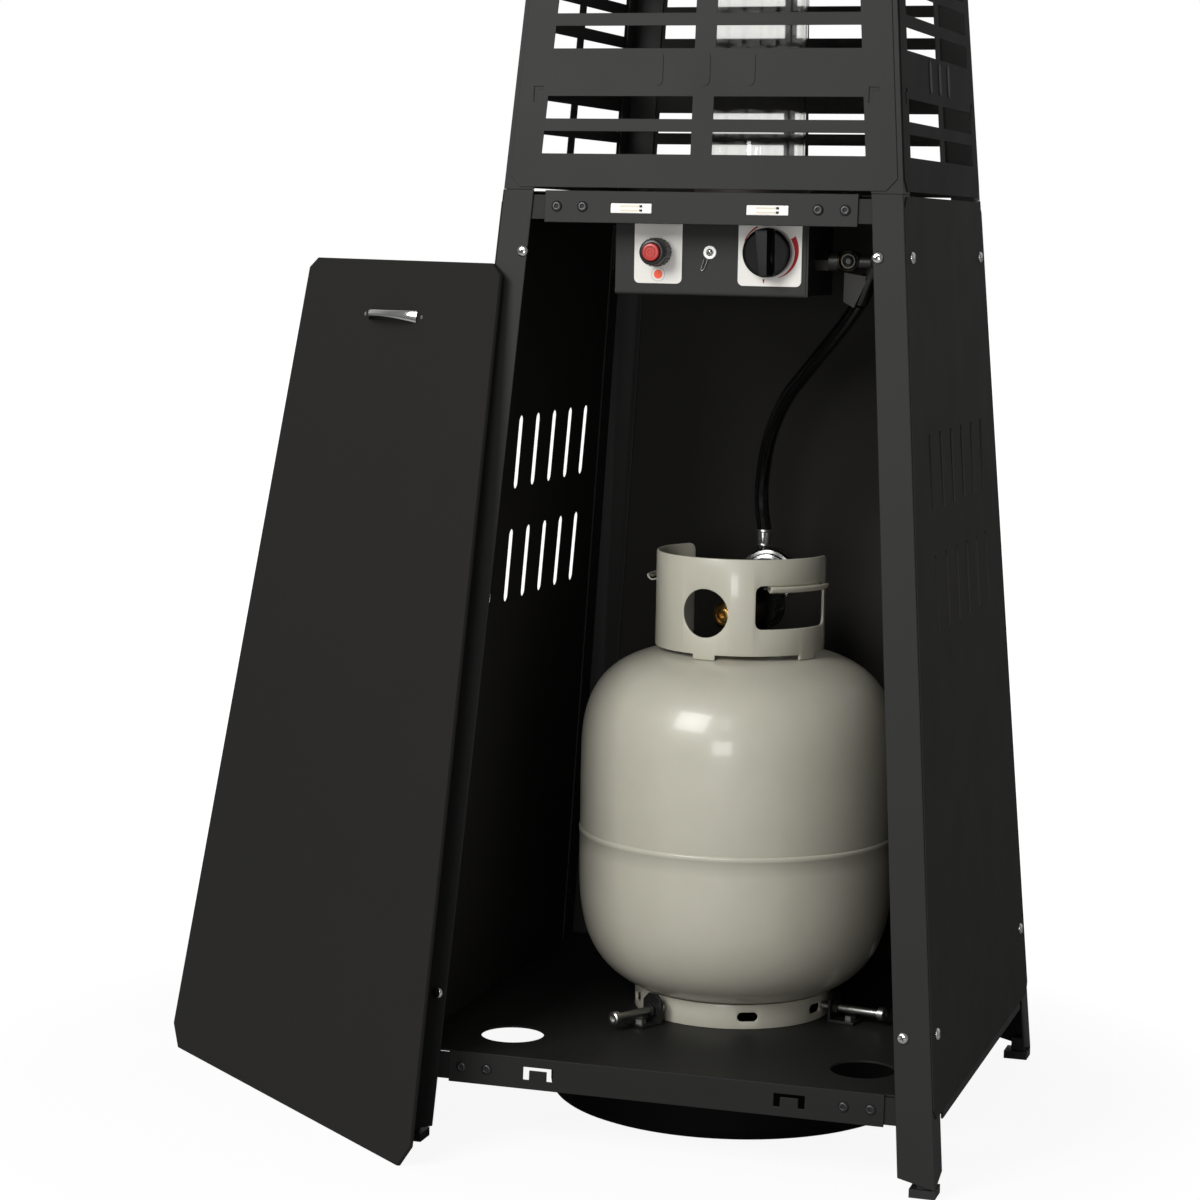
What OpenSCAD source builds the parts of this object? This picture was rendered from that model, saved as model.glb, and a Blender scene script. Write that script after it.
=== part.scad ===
// Pyramid patio heater: a four-sided gas heater on a tapered cabinet that holds a propane cylinder.
// Z is up, the floor is z = 0 and the doorway faces -Y. The front panel is lifted off and leans
// against the front left post. The origin is the middle of the footprint of heater and panel.

/* [Frame] */
// Width over the posts at floor level
base_width = 516; // [490:1:540]
// Inset of every face for each metre of height
taper_per_m = 79.3; // [72:0.1:84]
// Thickness of the steel that the posts, board and rail are bent from
frame_t = 2; // [1.6:0.1:2.4]
// Height of the top edge of the lower posts
lower_top = 891; // [870:1:900]
// Height of the top edge of the upper posts
upper_top = 2068; // [2000:1:2120]
// Flange width of a lower post at its foot
foot_flange = 35; // [32:1:40]
// Flange width of a post at the joint and above it
top_flange = 29; // [26:1:31]
// Rise of the slanted foot edge of a post flange
foot_rise = 8.5; // [4:0.5:12]
// Height of the rubber pads
pad_h = 8; // [6:1:14]
// Side length of a rubber pad
pad_size = 24; // [20:1:30]
// Length of an upper post's tongue below the joint
tongue_down = 76; // [70:1:80]
// Length of the tongue above the joint
tongue_up = 39; // [20:1:60]

/* [Board and pan] */
// Height of the board that the cylinder stands on
board_z = 90; // [85:1:110]
// Depth of the flanges of the board
board_flange_h = 29.3; // [24:0.1:34]
// Gap between each end of the board's flanges and a post's foot
board_end_gap = 8.163; // [4:0.1:16]
// Diameter of the four corner holes in the board
corner_hole_d = 60; // [40:1:64]
// Distance of the corner holes from the middle, sideways
corner_hole_x = 171; // [165:1:178]
// Distance of the corner holes from the middle, front to back
corner_hole_y = 176; // [165:1:178]
// Outer radius of the ballast pan
pan_r = 180; // [150:1:184]
// Height of the underside of the ballast pan
pan_z = 6.5; // [5:0.5:20]
// Wall thickness of the ballast pan
pan_t = 1.5; // [1:0.1:3]
// Radius of the lower edge of the ballast pan
pan_edge_r = 10; // [8:1:24]
// Width of the rim of the ballast pan
pan_rim = 10; // [6:1:14]
// Half spacing of the two hook slots in the board's front flange
hook_x = 120; // [100:1:130]
// Width of a hook slot
hook_slot_w = 29; // [26:1:34]
// Height of a hook slot
hook_slot_h = 12; // [10:1:14]
// Width of the tongue in a hook slot
hook_tongue_w = 17; // [12:1:19]

/* [Panels] */
// Thickness of the side and rear panels
panel_t = 1.2; // [0.8:0.1:1.6]
// Height of the lower edge of the side and rear panels
panel_bottom = 69.8; // [64:0.1:80]
// Gap between the panels' upper edge and the top of the lower posts
panel_top_gap = 2; // [1:0.5:4]
// Distance of a panel edge from the corner line
panel_inset = 1; // [0.5:0.5:3]
// Corner cut of the panels
panel_cut = 10; // [5:1:16]
// Number of louvre slots in a row
louvre_count = 6; // [3:1:6]
// Spacing of the louvre slots
louvre_pitch = 51; // [40:1:54]
// Width of a louvre slot
louvre_w = 13; // [8:1:18]
// Height of a louvre slot
louvre_h = 72; // [50:1:76]
// Height of the middle of the upper row of louvres
louvre_upper = 640; // [630:1:700]
// Height of the middle of the lower row of louvres
louvre_lower = 529; // [480:1:540]

/* [Screws] */
// Distance of the bright screws from the corner line
screw_inset = 25; // [22:0.5:26]
// Drop from the posts' joint to the upper bright screws
screw_drop = 56.3; // [46:0.1:66]
// Height of the lower bright screws
screw_low = 142.5; // [120:0.5:170]
// Head diameter of the bright screws
screw_head_d = 11; // [9:0.5:12]
// Thread diameter of the bright screws
screw_d = 5; // [4:0.5:6]
// Head diameter of the black screws
black_head_d = 10; // [8:0.5:11]
// Inner black screws of the board, from its end
board_screw_far = 37.3; // [33:0.1:42]
// Outer black screws of the board, from its end
board_screw_near = 12.4; // [9:0.1:16]
// Inner black screws of the top rail, from its end
rail_screw_far = 36.4; // [32:0.1:41]
// Outer black screws of the top rail, from its end
rail_screw_near = 11.6; // [9:0.1:15]

/* [Top rail and catches] */
// Height of the top rail's face
rail_h = 29; // [26:0.5:32]
// Gap between each end of the top rail and a post
rail_end_gap = 11.3437; // [8:0.1:16]
// Gap between the rail and the top of the lower posts
rail_gap = 0.5; // [0:0.1:2]
// Depth of the rail's inward lip
rail_lip = 14; // [8:1:16]
// Half spacing of the magnetic catches
catch_x = 64; // [50:1:80]
// Width of a catch
catch_w = 39; // [30:1:44]
// Height of a catch
catch_h = 9; // [8:0.5:13]
// Depth of a catch behind the rail's face
catch_depth = 11; // [8:1:14]

/* [Front panel] */
// Width of the lift-off panel at its lower edge
door_w = 502; // [470:1:505]
// Height of the lift-off panel, along its face
door_h = 832; // [820:1:840]
// Thickness of the panel's sheet
door_sheet = 1.2; // [0.8:0.1:1.5]
// Depth of the panel's folded edge
door_edge = 4; // [3:0.5:8]
// Width and height of the cut at the upper corners
door_cut_top = [15, 10];
// Width and height of the cut at the lower corners
door_cut_low = [19, 22];
// Lean of the panel away from upright
door_lean = 8.8; // [8:0.1:10]
// Turn of the panel's face away from the front
door_yaw = 39.2; // [36:0.1:42]
// Distance from the panel's middle line to the post it leans on
lean_reach = 169.4; // [150:0.1:175]
// Length of the handle
handle_len = 118; // [90:1:130]
// Height of the handle above the panel
handle_rise = 25; // [20:1:32]
// Width of the handle's strap
handle_w = 11; // [8:1:16]
// Thickness of the handle's strap
handle_t = 5; // [3:0.5:6]
// Distance of the handle below the panel's upper edge
handle_down = 54; // [42:1:80]

/* [Control box] */
// Width of the control box
box_w = 182; // [180:1:190]
// Distance of the box's front from the middle
box_front = 147; // [145:1:152]
// Depth of the control box
box_depth = 107; // [100:1:112]
// Drop from the posts' joint to the control box's underside
box_drop = 93; // [90:1:99]
// Thickness of the control box and the burner plate
box_t = 1.2; // [1:0.1:1.5]
// Drop from the posts' joint to the controls' middle
control_drop = 54.5; // [51:0.5:57]
// Sideways place of the igniter
igniter_x = -49; // [-55:1:-44]
// Sideways place of the gas knob
knob_x = 57; // [54:1:58]
// Diameter of the igniter's collar
igniter_d = 25; // [22:0.5:28]
// Length of the igniter's collar in front of its plate
igniter_out = 18; // [12:1:22]
// Diameter of the igniter's button
button_d = 16; // [12:0.5:18]
// Travel of the igniter's button
button_stroke = 4; // [3:0.5:5]
// Diameter of the gas knob
knob_d = 46; // [40:1:50]
// Thickness of the gas knob's disc
knob_disc = 9; // [7:1:12]
// Height of the grip bar on the knob
knob_grip = 11; // [8:1:14]
// Push travel of the gas knob
knob_push = 3.5; // [2:0.5:4]
// Diameter of the valve stem
stem_d = 8; // [6:0.5:9]
// Radial clearance of the stem and the button
run_gap = 0.06; // [0.03:0.01:0.1]
// Width of the igniter's label plate
igniter_plate_w = 48; // [44:1:52]
// Width of the knob's label plate
knob_plate_w = 62; // [58:1:66]
// Drop from the posts' joint to the label plates' lower edge
label_drop = 85.5; // [83:0.5:88]
// Height of the label plates
plate_h = 62; // [58:1:70]
// Thickness of the label plates
plate_t = 0.8; // [0.5:0.1:1.2]

/* [Gas line] */
// Distance of the inlet's axis from the middle of the heater
inlet_y = -105; // [-108:1:-102]
// Drop from the posts' joint to the inlet's axis
inlet_drop = 61; // [59:1:63]
// Sideways place of the elbow's corner
elbow_x = 148; // [144:1:154]
// Diameter of the inlet tube
inlet_d = 12; // [10:1:13]
// Length of the elbow's outlet
elbow_out = 18; // [12:1:20]
// Outer diameter of the hose
hose_d = 14; // [12:0.5:15]
// Diameter of the crimped ferrules
ferrule_d = 16.5; // [15.5:0.5:18]
// Length of the crimped ferrule at the inlet
ferrule_len = 28; // [16:1:28]
// Length of the crimped ferrule at the regulator
low_ferrule_len = 17; // [10:1:17]
// Width of the tag on the hose
tag_w = 16; // [12:1:20]
// Length of the tag on the hose
tag_len = 38; // [30:1:44]
// Thickness of the tag
tag_t = 1; // [0.8:0.1:1.5]

/* [Propane cylinder] */
// Radius of the cylinder
tank_r = 155.5; // [150:0.5:158]
// Sideways place of the cylinder's axis
tank_x = -3.5; // [-10:0.5:10]
// Front to back place of the cylinder's axis
tank_y = 10.5; // [0:0.5:20]
// Wall thickness of the cylinder
tank_wall = 2.6; // [2:0.1:4]
// Height at which the lower head begins, above the board
head_low = 160; // [140:1:175]
// Depth of the lower head
head_low_rise = 146; // [120:1:150]
// Height at which the upper head begins, above the board
head_high = 240; // [230:1:250]
// Depth of the upper head
head_high_rise = 122; // [110:1:126]
// Height of the weld seam above the board
seam_z = 180; // [176:1:200]
// Outer radius of the foot ring
ring_r = 97.5; // [94:0.5:100]
// Outer radius of the collar
collar_r = 84.4; // [80:0.1:86]
// Height of the collar's lower edge above the board
collar_low = 362; // [356:1:366]
// Height of the collar
collar_h = 93.4; // [85:0.1:98]
// Thickness of the collar and the foot ring
collar_t = 3; // [2:0.1:3.5]
// Height of the valve outlet above the board
outlet_z = 395; // [392:1:400]
// Direction of the valve outlet, from +X
outlet_az = 86; // [75:1:95]
// Radius of the black coupling nut
nut_r = 25; // [21:0.5:26]
// Radius of the regulator's casing
regulator_r = 29; // [26:0.5:31]
// Diameter of the cylinder valve's handwheel
handwheel_d = 62; // [50:1:66]

/* [Clamps] */
// Direction of the clamp at the left, from +X
clamp_left_az = -119; // [-125:1:-112]
// Direction of the clamp at the right, from +X
clamp_right_az = -12; // [-15:1:0]
// Distance of the clamp brackets outside the foot ring
clamp_out = 12.5; // [11:0.5:14]
// Diameter of the clamp bolts
clamp_bolt_d = 8; // [6:1:8]
// Length of the clamp bolts' shanks
clamp_bolt_len = 62; // [50:1:66]
// Height of the clamp bolts above the board
clamp_bolt_z = 13; // [11:1:16]
// Width of a clamp bracket
bracket_w = 25; // [18:1:26]
// Height of a clamp bracket
bracket_h = 29; // [26:1:31]
// Thickness of a clamp bracket
bracket_t = 3; // [2:0.5:3]

/* [Guards] */
// Thickness of the guards
guard_t = 1; // [0.8:0.1:1.5]
// Gap between the guards and the posts' joint
guard_gap = 2.3; // [1:0.1:5]
// Drop from the post tops to the guards' upper edge
guard_short = 6; // [2:1:20]
// Distance of a guard's edge from the corner line
guard_inset = 4.5; // [3:0.5:8]
// Height of the first slot above the joint
slot_first = 33; // [28:0.5:40]
// Height of a slot
slot_h = 20.3; // [14:0.1:22]
// Gap between two rows of slots
slot_gap = 11.5; // [8:0.1:14]
// Distance of the slots from the corner line
slot_inset = 33; // [31:0.5:40]
// Width of the bar in the middle of a guard
guard_bar = 20; // [14:1:30]

/* [Burner and flame tube] */
// Outer diameter of the glass tube
tube_d = 100; // [96:1:104]
// Wall thickness of the glass tube
tube_wall = 2.5; // [2:0.1:4]
// Height of the glass tube above the top plate
tube_above = 12; // [6:1:20]
// Diameter of the burner head
burner_d = 72; // [66:1:74]
// Height of the burner head
burner_h = 25; // [20:1:40]
// Diameter of the pipe to the burner
pipe_d = 10; // [8:1:12]
// Height of the flame screen
screen_h = 90; // [70:1:100]

/* [Reflector] */
// Side length of the reflector
reflector_w = 500; // [440:1:510]
// Side length of the reflector's flat top
reflector_flat = 150; // [140:1:170]
// Height of the reflector's highest sheet
reflector_top = 2262; // [2255:1:2275]
// Rise of the reflector's slopes
reflector_rise = 36; // [25:1:50]
// Height of the reflector's rim
reflector_rim = 12; // [8:1:20]
// Sheet thickness of the reflector and the top plate
cap_t = 1.2; // [1:0.1:1.5]
// Distance of the studs from the middle
stud_x = 60; // [56:1:66]
// Diameter of the studs
stud_d = 6; // [5:0.5:8]

/* [Hidden] */
$fn = 48;

// Taper of the faces
taper = taper_per_m / 1000;
lean = atan(taper);
function half_at(z) = base_width / 2 - taper * z;
function slope(z) = z / cos(lean);

// Small distances
seat_gap = 0.3;
corner_step = 0.1;
hole_gap = 0.2;

// Front panel: x along its lower edge, y up it and z out of its face
door_e = [cos(door_yaw), -sin(door_yaw), 0];
door_up = [sin(door_yaw) * sin(door_lean), cos(door_yaw) * sin(door_lean), cos(door_lean)];
door_out = [-sin(door_yaw) * cos(door_lean), -cos(door_yaw) * cos(door_lean), sin(door_lean)];
lean_z = door_h * cos(door_lean);
touch_point = [-half_at(lean_z), -half_at(lean_z), lean_z];
touch_y = door_h + seat_gap * tan(door_lean);
door_foot = touch_point - lean_reach * door_e - touch_y * door_up
    + (door_edge + seat_gap) * door_out;
handle_y = door_h - handle_down;
function door_at(x, y, z) = door_foot + x * door_e + y * door_up + z * door_out;

// Footprint of the heater and its leaning panel
left_end = min(door_at(-door_w / 2, door_cut_low[1], 0)[0],
    door_at(-door_w / 2 + door_cut_low[1] * sin(lean), door_cut_low[1], 0)[0]);
near_end = min(door_at(door_w / 2 - door_cut_low[1] * sin(lean), door_cut_low[1], 0)[1],
    door_at(door_w / 2 - door_cut_low[0], 0, 0)[1]);
foot_z = pad_h;
frame_reach = half_at(foot_z);
axis_x = -(left_end + frame_reach) / 2;
axis_y = -(near_end + frame_reach) / 2;

// Heights that follow from the frame
rail_top = lower_top - rail_gap;
rail_mid = rail_top - rail_h / 2;
rail_half = half_at(lower_top) - top_flange - rail_end_gap;
rail_screw_in = rail_half - rail_screw_far;
rail_screw_out = rail_half - rail_screw_near;
board_flange_half = half_at(board_z) - foot_flange - board_end_gap;
board_screw_in = board_flange_half - board_screw_far;
board_screw_out = board_flange_half - board_screw_near;
catch_drop = 1;
plate_z = lower_top - 2.5;
box_bottom = lower_top - box_drop;
control_z = lower_top - control_drop;
plate_bottom = lower_top - label_drop;
inlet_z = lower_top - inlet_drop;
screw_high = lower_top - screw_drop;
plate_top = plate_z + box_t;
panel_top = lower_top - panel_top_gap;
guard_low = lower_top + guard_gap;
guard_high = upper_top - guard_short;
row_count = floor((guard_high - row_z(0) - guard_bar) / (slot_h + slot_gap));
cap_z = upper_top;
tube_low = plate_top + 4;
tube_top = cap_z + cap_t + tube_above;
board_screw_z = board_z - board_flange_h / 2;

// Cylinder outline: a superellipse for each head
head_power = 3.2;
function head_r(t) = tank_r * pow(1 - pow(t, head_power), 1 / head_power);
function head_t(r) = pow(1 - pow(r / tank_r, head_power), 1 / head_power);
head_steps = [0, 0.25, 0.42, 0.55, 0.66, 0.75, 0.83, 0.89, 0.94, 0.975, 0.995];
ring_top = head_low - head_low_rise * head_t(ring_r - collar_t);
tab_foot = head_high + head_high_rise * head_t(collar_r - collar_t);
tank_top = head_high + head_high_rise;

// Cylinder valve and regulator: distances from the axis along the outlet
boss_top = tank_top + 4;
thread_r = 16.5;
thread_end = 50;
nut_start = 32;
nut_end = 62;
nut_wall = 6;
nipple_r = 8;
disc_start = 66;
disc_end = 88;
disc_lift = 28;

// Gas inlet: the elbow's outlet looks down, back and to the left
elbow_tilt = 36;
elbow_az = -44;
hose_dir = [sin(elbow_tilt) * cos(elbow_az), sin(elbow_tilt) * sin(elbow_az), cos(elbow_tilt)];
ring_sides = 10;
elbow_end = [elbow_x, inlet_y, inlet_z];
hose_low = 560;
hose_start = [tank_x + (disc_start + disc_end) / 2 * cos(outlet_az),
    tank_y + (disc_start + disc_end) / 2 * sin(outlet_az), hose_low];
hose_end = elbow_end - (elbow_out + ferrule_len) * hose_dir;
hose_route = [hose_start, [-0.5, 84, 576], [-3, 81.5, 597], [-1.5, 77, 614], [2, 69, 633],
    [7.6, 58, 652], [15.5, 46, 669], [25.3, 32, 685.6], [36.5, 17, 703], [49.5, 0, 719.5],
    [69.9, -25, 741.6], [92.8, -50, 763.3], [113, -70.5, 780.5], hose_end];

// Clamps
clamp_back_az = (clamp_left_az + clamp_right_az) / 2 + 180;
clamp_angles = [clamp_left_az, clamp_right_az, clamp_back_az];
clamp_plate_r = ring_r + clamp_out;
clamp_tip_r = ring_r + seat_gap;

module stand() {
    translate([axis_x, axis_y, 0])
        children();
}

module on_face(side) {
    rotate([0, 0, 90 * side])
        translate([0, -base_width / 2, 0])
            rotate([90 - lean, 0, 0])
                children();
}

module on_door() {
    translate(door_foot)
        rotate([90 - door_lean, 0, -door_yaw])
            children();
}

module at_tank(angle = 0) {
    translate([tank_x, tank_y, board_z])
        rotate([0, 0, angle])
            children();
}

// A flat sheet on a face: its outer surface lies `out` in front of the face plane
module face_sheet(side, out, t, outline) {
    on_face(side)
        translate([0, 0, out - t])
            linear_extrude(t)
                polygon(outline);
}

function face_quad(z0, z1, half0, half1) =
    [[-half0, slope(z0)], [half0, slope(z0)], [half1, slope(z1)], [-half1, slope(z1)]];

function cut_quad(z0, z1, inset, cut) = let (a = half_at(z0) - inset, b = half_at(z1) - inset)
    [[-a + cut, slope(z0)], [a - cut, slope(z0)], [a - taper * cut, slope(z0) + cut],
     [b + taper * cut, slope(z1) - cut], [b - cut, slope(z1)], [-b + cut, slope(z1)],
     [-b - taper * cut, slope(z1) - cut], [-a + taper * cut, slope(z0) + cut]];

// One flange of a post, at the right (1) or left (-1) end of a face
module post_flange(side, end, z0, z1, w0, w1, rise, depth) {
    a = half_at(z0);
    b = half_at(z1);
    edge = depth + corner_step;
    face_sheet(side, -depth, frame_t, [[end * (a - edge), slope(z0)], [end * (b - edge), slope(z1)],
        [end * (b - w1), slope(z1)], [end * (a - w0), slope(z0) + rise]]);
}

module post_angle(corner, z0, z1, w0, w1, rise, depth) {
    post_flange(corner, 1, z0, z1, w0, w1, rise, depth);
    post_flange(corner + 1, -1, z0, z1, w0, w1, rise, depth);
}

module face_hole(side, x, z, d) {
    on_face(side)
        translate([x, slope(z), -10])
            cylinder(d = d, h = 20);
}

module frame_screw_holes(corner, z) {
    x = half_at(z) - screw_inset;
    face_hole(corner, x, z, screw_d + 2 * hole_gap);
    face_hole(corner + 1, -x, z, screw_d + 2 * hole_gap);
}

// A domed cross-head screw, standing on z = 0
module dome_screw(head_d, shank_d, shank, head_h) {
    ball = (head_d * head_d / 4 + head_h * head_h) / (2 * head_h);
    difference() {
        union() {
            intersection() {
                translate([0, 0, head_h - ball])
                    sphere(r = ball);
                cylinder(d = head_d + 1, h = head_h + 1);
            }
            translate([0, 0, -shank])
                cylinder(d = shank_d, h = shank + 0.2);
        }
        for (turn = [0, 90])
            rotate([0, 0, turn])
                translate([-head_d * 0.25, -0.5, head_h * 0.4])
                    cube([head_d * 0.5, 1, head_h]);
    }
}

module foot_pads() {
    color("#1c1c1c")
        stand()
            for (corner = [0:3])
                rotate([0, 0, 90 * corner])
                    foot_pad();
}

module foot_pad() {
    plug_top = foot_z + foot_rise + 5;
    inner = half_at(plug_top) - frame_t - seat_gap;
    plug = pad_size - 10;
    translate([half_at(foot_z) - pad_size, -half_at(foot_z), 0])
        cube([pad_size - corner_step, pad_size, pad_h]);
    translate([inner - plug, -inner, pad_h - 0.5])
        cube([plug, plug, plug_top - pad_h]);
}

module lower_posts() {
    color("#3c3c3a")
        stand()
            for (corner = [0:3])
                difference() {
                    post_angle(corner, foot_z, lower_top, foot_flange, top_flange, foot_rise, 0);
                    frame_screw_holes(corner, screw_high);
                    frame_screw_holes(corner, screw_low);
                }
}

module upper_posts() {
    color("#3c3c3a")
        stand()
            for (corner = [0:3])
                difference() {
                    union() {
                        post_angle(corner, lower_top + seat_gap, upper_top, top_flange, top_flange, 0, 0);
                        post_angle(corner, lower_top - tongue_down, lower_top + tongue_up,
                            top_flange - 2, top_flange - 2, 0, frame_t);
                    }
                    frame_screw_holes(corner, screw_high);
                }
}

module hook_slot(x) {
    leg = (hook_slot_w - hook_tongue_w) / 2;
    bar = hook_slot_h / 4;
    low = slope(board_screw_z) - hook_slot_h / 2;
    translate([x - hook_slot_w / 2, low + hook_slot_h - bar, -10])
        cube([hook_slot_w, bar, 20]);
    for (end = [-1, 1])
        translate([x + end * (hook_slot_w - leg) / 2 - leg / 2, low, -10])
            cube([leg, hook_slot_h - bar / 2, 20]);
}

module bottom_board() {
    plate = half_at(board_z) - frame_t - seat_gap;
    arm = half_at(board_z) - frame_t / 2;
    flange_low = board_z - board_flange_h;
    color("#1d1d1b")
        stand()
            difference() {
                union() {
                    translate([-plate, -plate, board_z - frame_t])
                        cube([2 * plate, 2 * plate, frame_t]);
                    for (turn = [0, 90])
                        rotate([0, 0, turn])
                            translate([-board_flange_half, -arm, board_z - frame_t])
                                cube([2 * board_flange_half, 2 * arm, frame_t]);
                    for (side = [0:3])
                        face_sheet(side, 0, frame_t,
                            face_quad(flange_low, board_z, board_flange_half, board_flange_half));
                }
                for (x = [-1, 1], y = [-1, 1])
                    translate([x * corner_hole_x, y * corner_hole_y, board_z - 10])
                        cylinder(d = corner_hole_d, h = 20);
                for (x = [-1, 1])
                    on_face(0)
                        hook_slot(x * hook_x);
                for (x = [board_screw_in, board_screw_out], end = [-1, 1])
                    face_hole(0, end * x, board_screw_z, screw_d + 2 * hole_gap);
                for (angle = clamp_angles)
                    at_tank(angle)
                        translate([clamp_plate_r + 19, 0, -10])
                            cylinder(d = clamp_bolt_d - 2 + 2 * hole_gap, h = 20);
            }
}

// Plates that tie the board and the rail to the posts
module frame_brackets() {
    color("#2c2c2a")
        stand() {
            for (side = [0, 2], end = [-1, 1])
                board_bracket(side, end);
            for (end = [-1, 1])
                rail_bracket(end);
        }
}

module board_bracket(side, end) {
    low = board_z - board_flange_h + 2;
    high = board_z - frame_t - seat_gap;
    a = board_screw_in - 9;
    b = half_at(high) - 2 * frame_t;
    difference() {
        face_sheet(side, -frame_t, frame_t, [[end * a, slope(low)], [end * b, slope(low)],
            [end * b, slope(high)], [end * a, slope(high)]]);
        if (side == 0)
            for (x = [board_screw_in, board_screw_out])
                face_hole(side, end * x, board_screw_z, screw_d + 2 * hole_gap);
    }
}

module rail_bracket(end) {
    low = rail_top - rail_h + 3;
    high = rail_top - frame_t - 2;
    a = rail_screw_in - 7;
    b = half_at(low) - top_flange + 1.5;
    b_high = half_at(high) - top_flange + 1.5;
    c = rail_screw_out + 6;
    d = half_at(high) - 3 * frame_t;
    difference() {
        union() {
            face_sheet(0, -frame_t, frame_t, [[end * a, slope(low)], [end * b, slope(low)],
                [end * b_high, slope(high)], [end * a, slope(high)]]);
            face_sheet(0, -2 * frame_t, frame_t, [[end * c, slope(low)], [end * d, slope(low)],
                [end * d, slope(high)], [end * c, slope(high)]]);
        }
        for (x = [rail_screw_in, rail_screw_out])
            face_hole(0, end * x, rail_mid, screw_d + 2 * hole_gap);
    }
}

module black_screws() {
    color("#161616")
        stand()
            for (end = [-1, 1]) {
                for (x = [board_screw_in, board_screw_out])
                    on_face(0)
                        translate([end * x, slope(board_screw_z), 0])
                            dome_screw(black_head_d, screw_d, 2 * frame_t, 2);
                for (x = [rail_screw_in, rail_screw_out])
                    on_face(0)
                        translate([end * x, slope(rail_mid), 0])
                            dome_screw(black_head_d, screw_d, 2 * frame_t, 2);
            }
}

module ballast_pan() {
    top = board_z - frame_t;
    inner_edge = pan_edge_r - pan_t;
    arc = [for (a = [0:15:90]) a];
    color("#111110")
        stand()
            rotate_extrude($fn = 96)
                polygon(concat([[0, pan_z]],
                    [for (a = arc) [pan_r - pan_edge_r + pan_edge_r * sin(a),
                        pan_z + pan_edge_r - pan_edge_r * cos(a)]],
                    [[pan_r, top - pan_t], [pan_r + pan_rim, top - pan_t], [pan_r + pan_rim, top],
                     [pan_r - pan_t, top]],
                    [for (a = arc) [pan_r - pan_edge_r + inner_edge * cos(a),
                        pan_z + pan_edge_r - inner_edge * sin(a)]],
                    [[0, pan_z + pan_t]]));
}

module louvre(x, z) {
    straight = louvre_h - louvre_w;
    translate([x - louvre_w / 2, slope(z) - straight / 2])
        square([louvre_w, straight]);
    for (end = [-1, 1])
        translate([x, slope(z) + end * straight / 2])
            circle(d = louvre_w);
}

module cover_panel(side, louvres) {
    difference() {
        on_face(side)
            linear_extrude(panel_t)
                difference() {
                    polygon(cut_quad(panel_bottom, panel_top, panel_inset, panel_cut));
                    if (louvres)
                        for (i = [0:louvre_count - 1], z = [louvre_lower, louvre_upper])
                            louvre((i - (louvre_count - 1) / 2) * louvre_pitch, z);
                }
        for (z = [screw_low, screw_high], end = [-1, 1])
            face_hole(side, end * (half_at(z) - screw_inset), z, screw_d + 2 * hole_gap);
    }
}

module side_panel_left() {
    color("#2a2927")
        stand()
            cover_panel(3, true);
}

module side_panel_right() {
    color("#2a2927")
        stand()
            cover_panel(1, true);
}

module rear_panel() {
    color("#262524")
        stand()
            cover_panel(2, false);
}

module frame_screws() {
    color("#c9c9c6")
        stand()
            for (side = [0:3], z = [screw_low, screw_high], end = [-1, 1]) {
                out = side == 0 ? 0 : panel_t;
                on_face(side)
                    translate([end * (half_at(z) - screw_inset), slope(z), out])
                        dome_screw(screw_head_d, screw_d, out + 2 * frame_t, 3);
            }
}

module top_rail() {
    color("#454543")
        stand()
            difference() {
                union() {
                    face_sheet(0, 0, frame_t,
                        face_quad(rail_top - rail_h, rail_top, rail_half, rail_half));
                    on_face(0)
                        translate([-rail_half, slope(rail_top) - frame_t, -rail_lip])
                            cube([2 * rail_half, frame_t, rail_lip - 0.5]);
                }
                for (x = [rail_screw_in, rail_screw_out], end = [-1, 1])
                    face_hole(0, end * x, rail_mid, screw_d + 2 * hole_gap);
                for (end = [-1, 1])
                    on_face(0)
                        translate([end * catch_x - catch_w / 2 - hole_gap,
                            slope(rail_mid) - catch_drop - catch_h / 2 - hole_gap, -10])
                            cube([catch_w + 2 * hole_gap, catch_h + 2 * hole_gap, 20]);
            }
}

module magnetic_catches() {
    proud = 0.6;
    flange = 3;
    color("#e9e9e6")
        stand()
            for (end = [-1, 1])
                on_face(0)
                    translate([end * catch_x, slope(rail_mid) - catch_drop, 0]) {
                        translate([-catch_w / 2, -catch_h / 2, -catch_depth])
                            cube([catch_w, catch_h, catch_depth + proud]);
                        translate([-catch_w / 2 - flange, -catch_h / 2 - flange, -frame_t - 2])
                            cube([catch_w + 2 * flange, catch_h + 2 * flange, 2]);
                    }
}

module catch_strips() {
    proud = 0.6;
    strip = [catch_w * 0.62, 1.8, 0.8];
    color("#9a9a98")
        stand()
            for (end = [-1, 1], row = [-1, 1])
                on_face(0)
                    translate([end * catch_x - strip[0] / 2,
                        slope(rail_mid) - catch_drop + row * catch_h / 4 - strip[1] / 2, proud])
                        cube(strip);
}

// Outline of the lift-off panel, drawn in by `inset`
function door_outline(inset) = let (
        cut = inset * 0.4,
        a = door_w / 2 - inset,
        b = door_w / 2 - door_h * sin(lean) - inset,
        t = door_cut_top - [cut, cut],
        l = door_cut_low - [cut, cut])
    [[-a + l[0], inset], [a - l[0], inset], [a - l[1] * sin(lean), inset + l[1]],
     [b + t[1] * sin(lean), door_h - inset - t[1]], [b - t[0], door_h - inset],
     [-b + t[0], door_h - inset], [-b - t[1] * sin(lean), door_h - inset - t[1]],
     [-a + l[1] * sin(lean), inset + l[1]]];

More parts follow.
